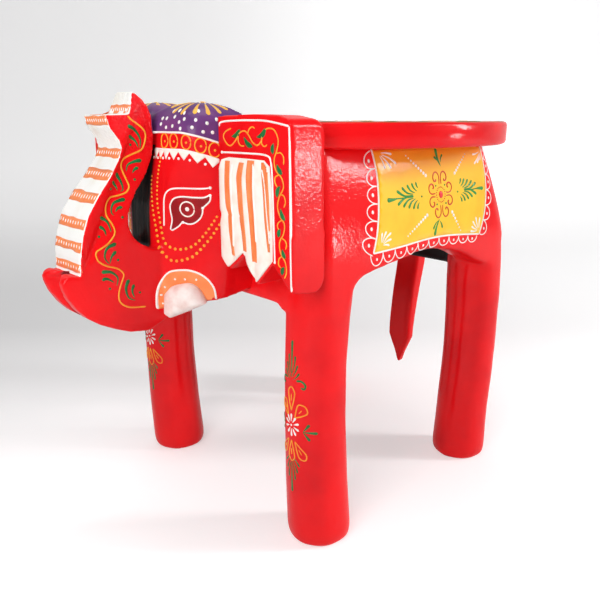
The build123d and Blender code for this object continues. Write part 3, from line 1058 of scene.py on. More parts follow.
def yellow_cloth():
    """Glossy yellow field, with painted shade: darker and more orange towards its top, under the
    seat's overhang.
    """
    finish = Finish("yellow_paint", 0.4, 0.12, 0.4, 0.1)
    # Painted shade under the seat's overhang: the field turns darker orange towards its top.
    high = finish.rising(finish.axis("Z"), 262, 287)
    clouds = finish.between(finish.noise(40, 3), 0.35, 0.8)
    colour = finish.mix(clouds, (0.96, 0.60, 0.028), (0.95, 0.50, 0.020))
    finish.bump(finish.noise(60, 2), 0.3, 0.5)
    finish.bump(finish.noise(500, 2), 0.1, 0.4)
    return finish.done(finish.mix(high, colour, (0.92, 0.34, 0.012)))


PAINTS["yellow"] = yellow_cloth()
SEAT_YELLOW = ((0.94, 0.54, 0.030), (0.92, 0.42, 0.020))
PAINTS["yellow_seat"] = paint("yellow_seat_paint", *SEAT_YELLOW, 0.4, 0.8)


def bare_wood():
    """Sawn pale hardwood for dowels."""
    finish = Finish("bare_wood", 0.65, 0.3)
    grain = finish.between(finish.noise(160, 4, (0.15, 1, 1)), 0.3, 0.7)
    finish.bump(grain, 0.1, 0.5)
    return finish.done(finish.mix(grain, (0.52, 0.33, 0.17), (0.36, 0.20, 0.09)))


def screw_steel():
    """Dull zinc-plated steel."""
    finish = Finish("screw_steel", 0.38, 0.5, metal=1)
    tarnish = finish.between(finish.noise(400, 3), 0.4, 0.7)
    return finish.done(finish.mix(tarnish, (0.62, 0.60, 0.55), (0.40, 0.37, 0.32)))


def dress(obj, material, slot_name, *nodes):
    """Gives a piece its material and body, and hides the CAD nodes it stands for; slot_name is not
    used.
    """
    obj.data.materials.clear()
    obj.data.materials.append(material)
    for polygon in obj.data.polygons:
        polygon.use_smooth = True
    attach(obj, "root")
    if nodes:
        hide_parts(*nodes)


def refinish(material, *nodes):
    """Gives CAD nodes that still show a finished material."""
    for node in nodes:
        for material_slot in frame["nodes"][node].material_slots:
            material_slot.material = material


pegged = ("side_panel", "end_panel", "ear", "neck", "trunk", "tail")
refinish(bare_wood(), *(f"{piece}_dowels" for piece in pegged))
refinish(screw_steel(), "seat_screws")
refinish(PAINTS["black"], "left_seat_cleat", "right_seat_cleat")

red = red_enamel("red_enamel")
leg_nodes = [f"{end}_{side}_leg" for end in ("front", "rear") for side in ("left", "right")]
panel_nodes = ["left_side_panel", "right_side_panel", "front_panel", "rear_panel"]
dress(body, body_finish(), "red_enamel", *leg_nodes, *panel_nodes)
dress(elephant_head, head_finish(), "red_enamel", "head_block", "trunk")
dress(ears[LEFT], red, "red_enamel", "left_ear")
dress(ears[RIGHT], red, "red_enamel", "right_ear")
dress(seat_plank, red, "red_enamel", "seat")
dress(tail_bar, red, "red_enamel", "tail")


# ------------------------------------------------------------ painted cloth


def scallops(canvas, edge, count, bulges, width, centre_dot):
    """Half-round loops along an edge, a dot in each; bulges are the first's and the last's."""
    knots = evenly(spline(edge, 8), count + 1)
    for k, (a, b) in enumerate(zip(knots, knots[1:])):
        bulge = bulges[0] + (bulges[1] - bulges[0]) * k / (count - 1)
        du, dv = b[0] - a[0], b[1] - a[1]
        size = math.hypot(du, dv)
        nu, nv = -dv / size, du / size
        loop = []
        for step in range(9):
            angle = math.pi * step / 8
            along, out = (1 - math.cos(angle)) / 2, math.sin(angle) * bulge
            loop.append((a[0] + du * along + nu * out, a[1] + dv * along + nv * out))
        stroke(canvas, "white", loop, width, 0.35, smooth=3)
        middle = ((a[0] + b[0]) / 2 + nu * bulge * 0.48, (a[1] + b[1]) / 2 + nv * bulge * 0.48)
        dot(canvas, "white", *middle, centre_dot, 0.5, 1.25)


CLOTH_LEFT = [(-60.5, 287.5), (-57.8, 270.5), (-59, 249.5), (-62.5, 232), (-67.5, 217.8)]
CLOTH_FOOT = [(-67.5, 217.8), (-38.5, 218.6), (-5, 220.4), (23.5, 219.8), (64, 216)]
CLOTH_RIGHT = [(64, 216), (72, 232.5), (76, 250.5), (76.6, 268.5), (74, 287.5)]
FLOWER = (13.3, 251.6)

# One leaf spray of the cloth's flower: along the arm from the flower, and across.
FROND_STEM = [(33, 0), (44, -0.6), (54, -0.2)]
FROND_TIP = [(51, -0.3), (63, -0.8)]
FROND_LEAVES = [
    ((33.5, 0.8), (52, 5)), ((33, 1.4), (46, 7)), ((31, 2), (40, 8.4)), ((28.5, 3), (34.5, 9.4)),
    ((27, 5), (29.5, 9.8)),
]


def frond(canvas, arm, scale):
    """A green feathery spray pointing along one arm of the flower."""

    def spot(s, t):
        return FLOWER[0] + arm * s * scale, FLOWER[1] + 1.4 + t * scale

    stroke(canvas, "leaf", [spot(*p) for p in FROND_STEM], 1.1, 0.35)
    drop(canvas, "leaf", spot(*FROND_TIP[0]), spot(*FROND_TIP[1]), 4, 0.02)
    for (s1, t1), (s2, t2) in FROND_LEAVES:
        for half in (-1, 1):
            drop(canvas, "leaf", spot(s1, t1 * half), spot(s2, t2 * half), 2.7, -0.12 * half * arm)
    dot(canvas, "leaf", *spot(23.8, -1), 0.8)


CURL = [
    (7.6, 1.4), (12, 1), (15.2, 2), (16.8, 4.4), (15.8, 7.2), (12.8, 8.4), (10.4, 7.4),
    (10.2, 5.4), (11.8, 4.8),
]


def flower(canvas):
    """Oval heart, a ring of dots and eight curled petals."""
    u0, v0 = FLOWER
    dot(canvas, "red", u0, v0, 2.5, 0.7, 1.15)
    for place in oval(u0, v0, 5.4, 5.6, 20):
        dot(canvas, "petal", *place, 0.5, 0.4)
    for c, s in ((1, 0), (0, 1), (-1, 0), (0, -1)):
        for half in (-1, 1):
            path = []
            for along, across in CURL:
                along, across = along * (0.86 if c else 1), across * half
                path.append((u0 + c * along - s * across, v0 + s * along + c * across))
            stroke(canvas, "petal", path, 1.3, 0.4, lambda t: 0.75 + 0.45 * t)
    for place in oval(u0, v0, 8.1, 9.7, 4, 0.5):
        dot(canvas, "leaf", *place, 0.75)


# Leaves above and below the flower: tail, head, width and bend.
BUDS = [
    ((16, 272.5), (11.5, 285.5), 4, 0.08), ((14.8, 273.8), (8.3, 279.6), 2.4, -0.1),
    ((16, 275), (19.4, 281), 2.4, 0.1), ((9.5, 233.6), (2.8, 221.8), 3.4, -0.06),
    ((8, 232.6), (1.4, 226.6), 2.2, -0.1), ((10, 232.4), (12.8, 226.4), 2.6, 0.1),
]
CORNER_SPRAYS = [
    ((-54, 284.5), [(-40, 283), (-36, 276.5), (-42, 273.5), (-48.5, 273.5)]),
    ((72.5, 281.5), [(60, 279.5), (61.5, 272), (66, 272.5), (70.5, 274.5)]),
    ((-59, 222.5), [(-57.5, 231), (-53, 231.5), (-48, 230), (-48, 225.5), (-50.5, 221.5)]),
    ((63, 219), [(65, 229.5), (59, 230.5), (54.5, 227.5), (52.5, 223.5), (51, 219.8)]),
]
DIAGONALS = [
    ((-24.5, 281.5), (-3.5, 266.6)), ((49.5, 280), (33.5, 266.4)), ((-29.5, 225.3), (-5.5, 238)),
    ((37, 222), (26.5, 237.3)),
]


def paint_cloth(side):
    """The saddle cloth painted on the body's side."""
    name = f"{SIDE_NAMES[side]}_cloth"
    canvas = side_canvas(name, body, side)
    left, foot, right = (spline(edge, 6) for edge in (CLOTH_LEFT, CLOTH_FOOT, CLOTH_RIGHT))
    field(canvas, "yellow", left + foot[1:] + right[1:], 4)
    lay_coats(name)
    over = Canvas(name, bpy.data.objects[f"{name}_yellow"], canvas.ray)
    for edge in (CLOTH_LEFT, CLOTH_FOOT, CLOTH_RIGHT):
        stroke(canvas, "white", edge, 1.5, 0.6)
    outer = [(u - 0.8, v - 1.5) for u, v in reversed(CLOTH_LEFT)]
    scallops(canvas, outer, 6, (12.5, 9), 0.95, 1.15)
    scallops(canvas, [(u + 0.8, v) for u, v in reversed(CLOTH_RIGHT)], 6, (8, 8), 0.95, 1)
    foot = [(u - 3, v - 0.6) for u, v in reversed(CLOTH_FOOT)]
    scallops(canvas, foot, 10, (5.6, 8.6), 0.9, 0.9)
    flower(over)
    frond(over, -1, 1)
    frond(over, 1, 0.93)
    for bud in BUDS:
        drop(over, "leaf", *bud)
    for base, tips in CORNER_SPRAYS:
        for tip in tips:
            start = tuple(b + (t - b) * 0.18 for b, t in zip(base, tip))
            drop(over, "white", start, tip, 2.1, 0.05)
    for outer, inner in DIAGONALS:
        last = round(math.dist(outer, inner) / 3.1)
        for step in range(last + 1):
            t = step / last
            u, v = (a + (b - a) * t for a, b in zip(outer, inner))
            dot(over, "white", u, v, 0.6 + 0.8 * t, 0.45)
    lay_coats(name)


for side in (LEFT, RIGHT):
    paint_cloth(side)

# --------------------------------------------------------------- ear fronts

EAR_TOP_LINE = [(56.5, 302), (58, 304.6), (72, 305.6), (88, 305.8), (104, 305.4), (123.6, 302.6)]
EAR_SIDE_LINE = [(123.6, 302.6), (123.9, 290), (124.2, 259.5), (124.4, 226.5), (125, 205.5)]
EAR_INNER = [
    (58.5, 286), (84, 286.2), (103, 285.6), (107.4, 281), (108.6, 264.5), (109.2, 244.5),
    (109.8, 221.5),
]
VINE = [
    (69, 301), (63, 299), (60.5, 296), (63, 292.2), (67.5, 290.3), (73, 293.5), (77, 298),
    (82.5, 299.5), (87, 296.5), (90, 293), (94.5, 291.3), (98.5, 294), (100.5, 299.3),
    (105.5, 301.3), (111, 300), (114, 294.5), (112.5, 288.5), (110.2, 283.5), (111.5, 277.5),
    (116.5, 273.5), (118.4, 268), (114.5, 262), (112.8, 256), (115, 250.5), (119, 246),
    (118, 240), (114.5, 235), (115.2, 228.5), (119.6, 223), (120.6, 217), (118.6, 212.8),
]
TENDRILS = [
    [(76, 297), (76, 293), (78.5, 290.6), (82, 290.6)],
    [(85.5, 298), (87, 300.5), (90, 302), (92.5, 301)],
    [(98.8, 295), (99, 292), (101.5, 290.8), (104, 292)],
    [(111.6, 287), (116, 287.6), (118.6, 285.2), (118.6, 281)],
    [(114.5, 275), (111, 273.4), (110.8, 270), (113, 267.5)],
    [(115.4, 263.4), (118.5, 263), (120, 259.5), (118.6, 256)],
    [(116.8, 248.4), (113.4, 246.5), (112.6, 244), (114.4, 242)],
    [(116.4, 237.4), (119.4, 236.4), (120.8, 234), (119.8, 231)],
    [(116.8, 226.4), (113.8, 224.4), (113.4, 220.6), (115.6, 219)],
]
VINE_LEAVES = [
    ((78, 300.6), (69, 296)), ((90, 290.4), (81.5, 296)), ((103, 301.5), (94, 296)),
    ((109.2, 286.5), (109.8, 293)), ((117.6, 275.5), (112.6, 281)),
    ((112.4, 261.5), (115.4, 268.5)), ((119.6, 248.5), (115.6, 255.2)),
    ((113.6, 237.5), (115.4, 243)), ((120, 225.5), (116.8, 231)), ((116.4, 214.5), (118.6, 220)),
]
PLEAT_STRIPES = [
    ([(65, 281), (63.7, 268), (64.2, 253.5), (65.6, 246.5), (66.2, 235.5), (68.2, 220)], 5.5),
    ([(79.5, 280.5), (76.8, 271.5), (77, 262), (78, 248), (80, 234), (80.8, 224.5)], 6),
    ([(89.2, 282.2), (87.3, 272.5), (87.3, 263), (89, 245.5), (90, 231.5), (90.6, 219)], 7),
    ([(102, 281.5), (102, 273.5), (103, 260.5), (103.6, 247.5), (104.6, 237), (105.8, 227.5)], 6.5),
]
PLEAT_LINES = [
    [(70.5, 279), (68.5, 271), (68.5, 261.5), (69, 247), (69.5, 240), (69.2, 226)],
    [(91.6, 280.5), (91, 263), (92, 249.5), (93, 232)],
    [(99, 277.5), (101, 268), (103, 254), (105.6, 237.5), (107, 227.5)],
]


# How far the stripes stand outward of their lines, off the ridges of the pleats.
PLEAT_SHIFT = 1.2


def paint_ear(side):
    """Border lines, vine and carved pleats on an ear's front."""
    word = SIDE_NAMES[side]
    name = f"{word}_ear_front"
    canvas = front_canvas(name, ears[side], side, -220)
    for line in (EAR_TOP_LINE, EAR_SIDE_LINE, EAR_INNER):
        stroke(canvas, "white", line, 1.3, 0.55)
    for end in (EAR_SIDE_LINE[-1], EAR_INNER[0], EAR_INNER[-1]):
        dot(canvas, "white", *end, 1, 0.8)
    stroke(canvas, "gold", VINE, 0.95, 0.4)
    for line in TENDRILS:
        stroke(canvas, "gold", line, 0.9, 0.4)
    for tail_end, head_end in VINE_LEAVES:
        (u0, v0), (u1, v1) = tail_end, head_end
        middle = ((u0 + u1) / 2 + (v0 - v1) * 0.15, (v0 + v1) / 2 + (u1 - u0) * 0.15)
        leaf = [tail_end, middle, head_end]
        stroke(canvas, "green", leaf, 3.3, 0.5, lambda t: 0.15 + math.sin(math.pi * t**0.8))
    lay_coats(name)
    name = f"{word}_ear_pleats"
    carved = Canvas(name, ears[side], canvas.ray)
    field(carved, "cream", PLEAT_OUTLINE, 1.1, pleat_relief)
    lay_coats(name)
    name = f"{word}_pleat_stripes"
    over = Canvas(name, bpy.data.objects[f"{word}_ear_pleats_cream"], canvas.ray)
    for line, width in PLEAT_STRIPES:
        middle = spline([(u + PLEAT_SHIFT, v) for u, v in line], 4)
        last = len(middle) - 1
        halves = [width / 2 * (1 - 0.3 * (i / last) ** 2) for i in range(last + 1)]
        edge = [(u - half, v) for (u, v), half in zip(middle, halves)]
        edge += [(u + half, v) for (u, v), half in reversed(list(zip(middle, halves)))]
        field(over, "orange", edge, 1.2, 0.3)
    for line in PLEAT_LINES:
        stroke(over, "white", [(u + PLEAT_SHIFT, v) for u, v in line], 1, 0.8)
    lay_coats(name)


for side in (LEFT, RIGHT):
    paint_ear(side)

# --------------------------------------------------------------------- face

# The cheek canvas: a point of its plane, its direction, and how far off rays start.
CHEEK_AT = (-175, 15)
CHEEK_ALONG = (0.597, 0.802)
CHEEK_AWAY = 60


def cheek_canvas(name, obj, side):
    """Canvas square to the cheek: u back along the face, v up."""
    (x0, y0), (ax, ay) = CHEEK_AT, CHEEK_ALONG
    aim = Vector((ay, -side * ax, 0))
    back = aim * CHEEK_AWAY * MM
    return Canvas(name, obj, lambda u, v: (at(x0 + ax * u, side * (y0 + ay * u), v) - back, aim))


# The eye lies this much further back than its points say.
EYE_SHIFT = 1.9
BROW = [(7, 236.5), (8, 248.5), (9, 256.5), (12.5, 261), (19.5, 262.5), (36, 262.5), (41, 263)]
EYE = [
    (12, 234), (17.5, 236.5), (21, 239.5), (25, 238.6), (29, 239.2), (33.5, 242.5), (35.5, 246.5),
    (35.8, 249.5), (38.5, 252), (40.8, 254.5), (41, 258), (37, 256.6), (30, 256.6), (22, 257),
    (16, 255.5), (13, 251), (13, 246), (13.5, 241),
]
OUTER_DOTS = [
    (0.5, 274.8), (-0.3, 264.2), (0.6, 253.8), (1.6, 241.6), (3.1, 231.4), (4.6, 221.9),
    (11, 213.8), (17.1, 212.6), (24.5, 214.4), (30.4, 217.4), (40.8, 228.1), (48.5, 239),
]
INNER_DOTS = [
    (8.5, 281.8), (6.7, 273.9), (5.6, 266), (5.1, 254.7), (5.6, 243.9), (7.6, 228.2),
    (10.3, 223.5), (16.1, 221), (23.1, 221.3), (29.3, 223.6), (34.5, 227.9), (40.5, 234.9),
    (48.1, 245.7),
]
HALF_RING = [
    (1.8, 177.8), (1.5, 182), (2.4, 191), (5.2, 198.5), (9.6, 203.5), (15, 205.6), (23.5, 206.4),
    (29.5, 205.4), (35, 203), (39.5, 199), (42.5, 193), (43, 185.5),
]
RING_FOOT = [(36, 178.5), (22, 178), (8, 177.5)]
RING_DOTS = [(4.6, 181.4), (4, 187.8), (6.8, 193.4), (14.9, 199.6), (22.2, 199.8), (30.4, 200)]
BOSS = [
    (6, 174.5), (6.5, 182), (7, 188.5), (9, 191), (12.5, 194.5), (19, 196.5), (25.5, 197.5),
    (30.5, 195.5), (34, 191.5), (36.5, 186.5), (37.5, 183.5),
]
BOSS_FOOT = [(27, 178.5), (10.5, 171.5)]
BOSS_CENTRE = (19.5, 184)
# The knob's rings: share of its outline, height over the cheek.
BOSS_LEVELS = ((0.96, -5), (1, 0), (0.98, 2.2), (0.9, 4.4), (0.72, 6.6), (0.45, 7.9), (0.15, 8.4))


def cheek_boss(side):
    """Rough knob on the cheek, cut off along the jaw."""
    canvas = cheek_canvas("boss", elephant_head, side)
    draw = random.Random(41 + side)
    outline = evenly(spline(BOSS, 6) + BOSS_FOOT + BOSS[:1], 73)[:-1]
    u0, v0 = BOSS_CENTRE
    rings = []
    for share, height in BOSS_LEVELS:
        ring = []
        for u, v in outline:
            start, aim = canvas.ray(u0 + (u - u0) * share, v0 + (v - v0) * share)
            rough = draw.uniform(-0.35, 0.35) if height > 0 else 0
            ring.append(start + aim * (CHEEK_AWAY - 2.5 - height + rough) * MM)
        rings.append(ring)
    return fused(f"{SIDE_NAMES[side]}_carved_boss", [loft("boss", rings)], 1, 1)


# Distance between a garland's lowest dots, and how finely its line is walked.
GARLAND_WIDE, GARLAND_STEP = 4.1, 0.1


def garland(canvas, path):
    """A row of dots along a path, larger and further apart towards its foot."""
    line = spline(path, 8)
    walked = GARLAND_WIDE
    for u, v in evenly(line, round(length_of(line) / GARLAND_STEP) + 1):
        high = clamp((v - 218) / 40)
        walked += GARLAND_STEP
        if walked >= GARLAND_WIDE - 1.4 * high:
            dot(canvas, "gold", u, v, 1.15 - 0.4 * high, 0.5)
            walked = 0


def paint_face(side):
    """Eye, dotted garlands and the half-ring round the boss."""
    canvas = cheek_canvas(f"{SIDE_NAMES[side]}_face", elephant_head, side)
    eye = [(u + EYE_SHIFT, v) for u, v in EYE]
    field(canvas, "crimson", spline(eye, 3, closed=True), 1.8, 0.1)
    stroke(canvas, "white", spline(eye, 5, closed=True) + [eye[0]], 1.15, 0.5, smooth=0)
    for u, v in ((21.3, 239.6), (35.8, 249.6), (41, 258), (41.4, 263)):
        dot(canvas, "white", u + EYE_SHIFT, v, 1.1, 0.7)
    stroke(canvas, "white", [(u + EYE_SHIFT, v) for u, v in BROW], 1.15, 0.5)
    iris = (25 + EYE_SHIFT, 248.7)
    stroke(canvas, "cream", oval(*iris, 5, 5, 12, closed=True), 1.1, 0.5, smooth=3)
    dot(canvas, "white", *iris, 1.6, 0.6)
    for row in (OUTER_DOTS, INNER_DOTS):
        garland(canvas, row)
    field(canvas, "orange", spline(HALF_RING, 5) + RING_FOOT, 2, 0.25)
    stroke(canvas, "white", HALF_RING, 1.5, 0.6)
    for u, v in RING_DOTS:
        dot(canvas, "white", u, v, 0.9, 0.75)
    lay_coats(canvas.name)


for side in (LEFT, RIGHT):
    paint_face(side)
    dress(cheek_boss(side), PAINTS["pink"], "cream_paint", f"{SIDE_NAMES[side]}_cheek_boss")

# ------------------------------------------------------- headband and crown

BAND_PLAN = [
    (-169, 0), (-169, 15), (-167.8, 33), (-162, 45.5), (-148, 53.8), (-134, 56), (-118, 56),
]
BAND_PARTS = 88
BAND_LINE = evenly(spline(BAND_PLAN, 8), BAND_PARTS + 1)
BAND_STEP = length_of(BAND_LINE) / BAND_PARTS


def band_canvas(side):
    """Canvas wrapped round the brow: u from the middle of the face, v up."""

    def ray(u, v):
        k = min(BAND_PARTS - 1.001, abs(u) / BAND_STEP)
        i = int(k)
        a, b = BAND_LINE[i], BAND_LINE[i + 1]
        x, y = a[0] + (b[0] - a[0]) * (k - i), a[1] + (b[1] - a[1]) * (k - i)
        a, b = BAND_LINE[max(0, i - 3)], BAND_LINE[min(BAND_PARTS, i + 4)]
        nx, ny = a[1] - b[1], b[0] - a[0]
        size = math.hypot(nx, ny)
        half = math.copysign(side, u * side)
        aim = Vector((-nx / size, -half * ny / size, 0))
        away = 1.6 if abs(u) < 20 and v < 305 else 30
        return at(x, half * y, v) - aim * away * MM, aim

    return Canvas("headband" if side == LEFT else "right_headband", elephant_head, ray)


def band_foot(u):
    """Height of the cap's lower line round the brow."""
    return CAP_LINE - 6.5 * clamp((abs(u) - 40) / 26) ** 1.4


# The band round the brow: its depth, where it starts and where it meets the ear.
BAND_DEPTH, BAND_START, EAR_AT = 10.8, 12.8, 66
# Centre of the rays on one dome of the crown.
RAYS_AT = (-140, 30)
# Rings on the band: place round the brow, half width.
CIRCLES = [(23.5, 4), (33.6, 4), (44.5, 3.4), (54, 3.7), (63, 3.8)]
TEETH = [13, 18, 24, 30, 38, 46.4, 56.6, 66]
CAP_DOTS = [
    (17.7, 303.4), (24.7, 301.3), (31.7, 302.2), (40, 300.7), (49, 301.4), (56, 298.6),
    (62, 298.3), (17.6, 307), (22.6, 307), (31.4, 308), (38, 304.7), (42.5, 306.6), (51.5, 306),
    (59, 304), (66, 306.3), (10, 312), (25.7, 311.7), (32.7, 312), (40.5, 310.3), (54, 311.6),
]


def paint_brow(side):
    """White-edged band with rings, the toothed fringe and the dotted cap."""
    canvas = band_canvas(side)
    steps = [BAND_START + (EAR_AT - BAND_START) * i / 20 for i in range(21)]
    for drop_by in (0, BAND_DEPTH):
        stroke(canvas, "white", [(u, band_foot(u) - drop_by) for u in steps], 1.4, 0.6)
    for u, wide in CIRCLES:
        v = band_foot(u) - BAND_DEPTH / 2
        tall = min(wide * 1.33, BAND_DEPTH / 2 - 0.7)
        stroke(canvas, "gold", oval(u, v, wide, tall, 12, closed=True), 0.95, 0.45, smooth=3)
        dot(canvas, "gold", u + 0.2, v - 0.3, 0.8, 0.5)
    fringe = [(u, band_foot(u) - BAND_DEPTH) for u in steps]
    for a, b in zip(reversed(TEETH[:-1]), reversed(TEETH[1:])):
        middle = (a + b) / 2
        fringe.append((b, band_foot(b) - BAND_DEPTH - 1.2))
        fringe.append((middle, band_foot(middle) - BAND_DEPTH - 6.4))
    fringe.append((TEETH[0], band_foot(TEETH[0]) - BAND_DEPTH - 1.2))
    field(canvas, "cream", fringe, 1.6, 0.25)
    for u in TEETH:
        dot(canvas, "white", u, band_foot(u) - BAND_DEPTH - 5.6, 0.95, 0.5)
    for u, v in CAP_DOTS:
        dot(canvas, "white", u, v, 1.25, 0.5)
    lay_coats(canvas.name)
    name = f"{SIDE_NAMES[side]}_crown_rays"
    top = top_canvas(name, elephant_head, side)
    x0, y0 = RAYS_AT
    for c, s in oval(0, 0, 1, 1, 14, 0.45):
        near, far = 8, 19.5 - 2 * c
        drop(top, "ray", (x0 + near * c, y0 + near * s), (x0 + far * c, y0 + far * s), 3.6)
    dot(top, "ray", x0, y0, 2.4, 0.7)
    for place in oval(x0, y0, 5.6, 5.6, 10):
        dot(top, "white", *place, 0.7, 0.45)
    lay_coats(name)


for side in (LEFT, RIGHT):
    paint_brow(side)

# -------------------------------------------------------------------- trunk

WAVE = [
    (-188.5, 308.5), (-185.5, 306), (-181, 303.5), (-177, 299.5), (-176.5, 295.5), (-178.5, 290),
    (-181, 287), (-186, 285), (-191, 283), (-194, 281), (-195.5, 277.5), (-194.5, 272.5),
    (-192.5, 266), (-192.5, 263.5), (-195, 260.5), (-200, 259), (-205.5, 258), (-208.5, 255),
    (-209.5, 251), (-209, 246), (-206.5, 241), (-205.5, 236.5), (-207, 233), (-211, 229),
    (-215.5, 226.5), (-219, 224.5), (-219.5, 221.5), (-218, 218), (-213, 214.5), (-207.5, 212.5),
    (-204, 210.5), (-201.5, 207), (-203, 202.5), (-205, 197.5), (-206, 193), (-205.5, 189),
    (-202.5, 185.5), (-197, 183), (-186.5, 181.5),
]
# Each leaf beside the wave is a comma: full at its first point, thin at its last.
WAVE_LEAVES = [
    [(-189, 302.5), (-183.5, 300), (-180.5, 294), (-181.5, 288)],
    [(-188.5, 296.5), (-184, 293), (-182.5, 288.5)],
    [(-181.5, 280.5), (-186, 280), (-191, 278), (-192.5, 274)],
    [(-184.5, 276), (-187, 275), (-189, 272.5)],
    [(-200, 273.5), (-197, 267.5), (-196.5, 262.5), (-198.5, 261.5)],
    [(-203.5, 268.5), (-200.8, 265), (-200, 262)],
    [(-196, 256.5), (-203.5, 254.5), (-206, 249), (-204.5, 246.5)],
    [(-198.5, 251.5), (-201.5, 251), (-203.5, 248.5)],
    [(-214.5, 246.5), (-209.5, 243), (-208, 236)], [(-215, 240.5), (-212, 237.8), (-211.5, 234)],
    [(-205.5, 228.5), (-212, 226), (-214, 220), (-211, 215.5)],
    [(-206, 223.5), (-209.5, 220), (-210.5, 216)],
    [(-217, 211), (-210.5, 210), (-206, 205.5), (-207, 200)],
    [(-217, 205.5), (-213.5, 206), (-208.5, 202.5)],
    [(-198, 203), (-200.5, 197.5), (-199, 190.5), (-194, 187.5)],
    [(-194.5, 199), (-196, 194.5), (-194.5, 189.5)],
]
WAVE_DOTS = [
    (-187.5, 290.5), (-188, 268.5), (-205, 263.5), (-199.5, 245), (-216, 234), (-205, 217.5),
    (-212, 199), (-190.5, 192.5),
]
# Lower and upper edge of each band across the trunk's front.
TRUNK_BANDS = [
    (309.5, 315.8), (303, 308.6), (282.4, 288.2), (269, 275.1), (255, 261.4), (239.5, 245.7),
    (225.4, 231.4), (212.2, 217.5),
]


def paint_trunk_side(side):
    """The waving gold line with its pairs of green leaves."""
    name = f"{SIDE_NAMES[side]}_trunk_side"
    canvas = Canvas(name, elephant_head, lambda u, v: (at(u, side * 60, v), Vector((0, -side, 0))))
    stroke(canvas, "gold", WAVE, 1.15, 0.5)
    for leaf in WAVE_LEAVES:
        stroke(canvas, "green", leaf, 3.3, 0.5, lambda t: 1 - 0.82 * t**0.7)
    for u, v in WAVE_DOTS:
        dot(canvas, "green", u, v, 0.9)
    lay_coats(name)


def paint_trunk_front():
    """Orange bands with white dashes on the trunk's white front."""
    name = "trunk_front"
    canvas = front_canvas(name, elephant_head, RIGHT, -300)
    draw = random.Random(7)
    for low, high in TRUNK_BANDS:
        half = lerp(TRUNK_WIDTH, (low + high) / 2) - 1.5
        upper = [(half * (1 - 2 * i / 6), high + draw.uniform(-0.5, 0.5)) for i in range(7)]
        lower = [(-half * (1 - 2 * i / 6), low + draw.uniform(-0.5, 0.5)) for i in range(7)]
        field(canvas, "orange", spline(upper, 3) + spline(lower, 3), 2, 0.14)
        middle, deep = (low + high) / 2, (high - low) * 0.2
        for i in range(10):
            u = half * (-0.9 + 1.8 * i / 9)
            v = middle + draw.uniform(-0.3, 0.3)
            stroke(canvas, "white", [(u, v - deep), (u, v + deep)], 1.1, 0.45, smooth=0)
    lay_coats(name)


paint_trunk_front()
for side in (LEFT, RIGHT):
    paint_trunk_side(side)

# --------------------------------------------------------------------- legs

# A step of this length along u turns a leg's canvas by one radian.
LEG_WRAP_R = 21.5


def leg_canvas(name, end, side):
    """Canvas wrapped round a leg: u outward from its front or rear line, v up."""

    def ray(u, v):
        turn = u / LEG_WRAP_R
        bow = leg_bow(end, v)
        out = Vector((end * math.cos(turn), side * math.sin(turn), 0))
        return at(end * LEG_X + bow, side * LEG_Y, v) + out * 60 * MM, -out

    return Canvas(name, body, ray)


# Outline of a petal: (share of its length, share of its width).
TEARDROP = ((0, 0), (0.45, 0.36), (0.8, 0.5), (1, 0), (0.8, -0.5), (0.45, -0.36), (0, 0))


def teardrop(canvas, colour, point, head_end, width):
    """The outline of a petal with a short stroke inside."""
    (u0, v0), (u1, v1) = point, head_end
    du, dv = u1 - u0, v1 - v0
    size = math.hypot(du, dv)
    path = []
    for along, out in TEARDROP:
        u, v = u0 + du * along, v0 + dv * along
        path.append((u - dv / size * out * width, v + du / size * out * width))
    stroke(canvas, colour, path, 0.95, 0.45)
    inner = [(u0 + du * t, v0 + dv * t) for t in (0.4, 0.55, 0.7)]
    stroke(canvas, colour, inner, 0.8, 0.4)


SPRAY_LEAVES = [
    ((0.6, 134), (3.4, 147.5)), ((1, 131.5), (5.6, 141.3)), ((1.6, 129.5), (7.2, 135.8)),
]
# The lower spray is the upper one upside down: a leaf's two heights add up to this.
SPRAY_FLIP = 199.5
LEG_FLOWER = (-1.5, 94.8)
# The far front leg's flower stands this much higher, without upper side petals.
FAR_RISE = 20.5
LEG_CURL = [(4.6, 129.4), (8.4, 130), (11.6, 127.4), (10.6, 124.4), (8.2, 125.4)]


def paint_leg(end, side, rise):
    """A flower with petals and leafy sprays on one leg."""
    name = f"{'front' if end < 0 else 'rear'}_{SIDE_NAMES[side]}_leg_flower"
    canvas = leg_canvas(name, end, side)

    def spot(u, v):
        return LEG_FLOWER[0] + u, v + rise

    drop(canvas, "green", spot(0, 131), spot(0, 158), 2.6)
    drop(canvas, "green", spot(0, 66), spot(0, 41), 2.4)
    for half in (-1, 1):
        for (u1, v1), (u2, v2) in SPRAY_LEAVES:
            drop(canvas, "green", spot(u1 * half, v1), spot(u2 * half, v2), 1.9, -0.06 * half)
            low1, low2 = spot(u1 * half, SPRAY_FLIP - v1), spot(u2 * half, SPRAY_FLIP - v2)
            drop(canvas, "green", low1, low2, 1.8, 0.06 * half)
        stroke(canvas, "green", [spot(u * half, v) for u, v in LEG_CURL], 1.7, 0.45)
        if rise != FAR_RISE:
            teardrop(canvas, "gold", spot(3.6 * half, 101.5), spot(11.6 * half, 111.5), 8.4)
        teardrop(canvas, "gold", spot(3.4 * half, 83), spot(11.4 * half, 69.8), 6)
        base = spot(10 * half, 92)
        for u, v in ((14.8, 98.4), (20.5, 92), (15, 85.8)):
            drop(canvas, "green", base, spot(u * half, v), 2.7)
    teardrop(canvas, "gold", spot(0, 106), spot(0, 124), 6.6)
    teardrop(canvas, "gold", spot(0, 83), spot(0, 66.5), 6)
    v0 = LEG_FLOWER[1]
    for c, s in oval(0, 0, 1, 1, 10, 0.5):
        drop(canvas, "white", spot(2.4 * c, v0 + 2.6 * s), spot(7.4 * c, v0 + 8.8 * s), 2.5)
    dot(canvas, "white", *spot(0, v0), 0.9)
    lay_coats(name)


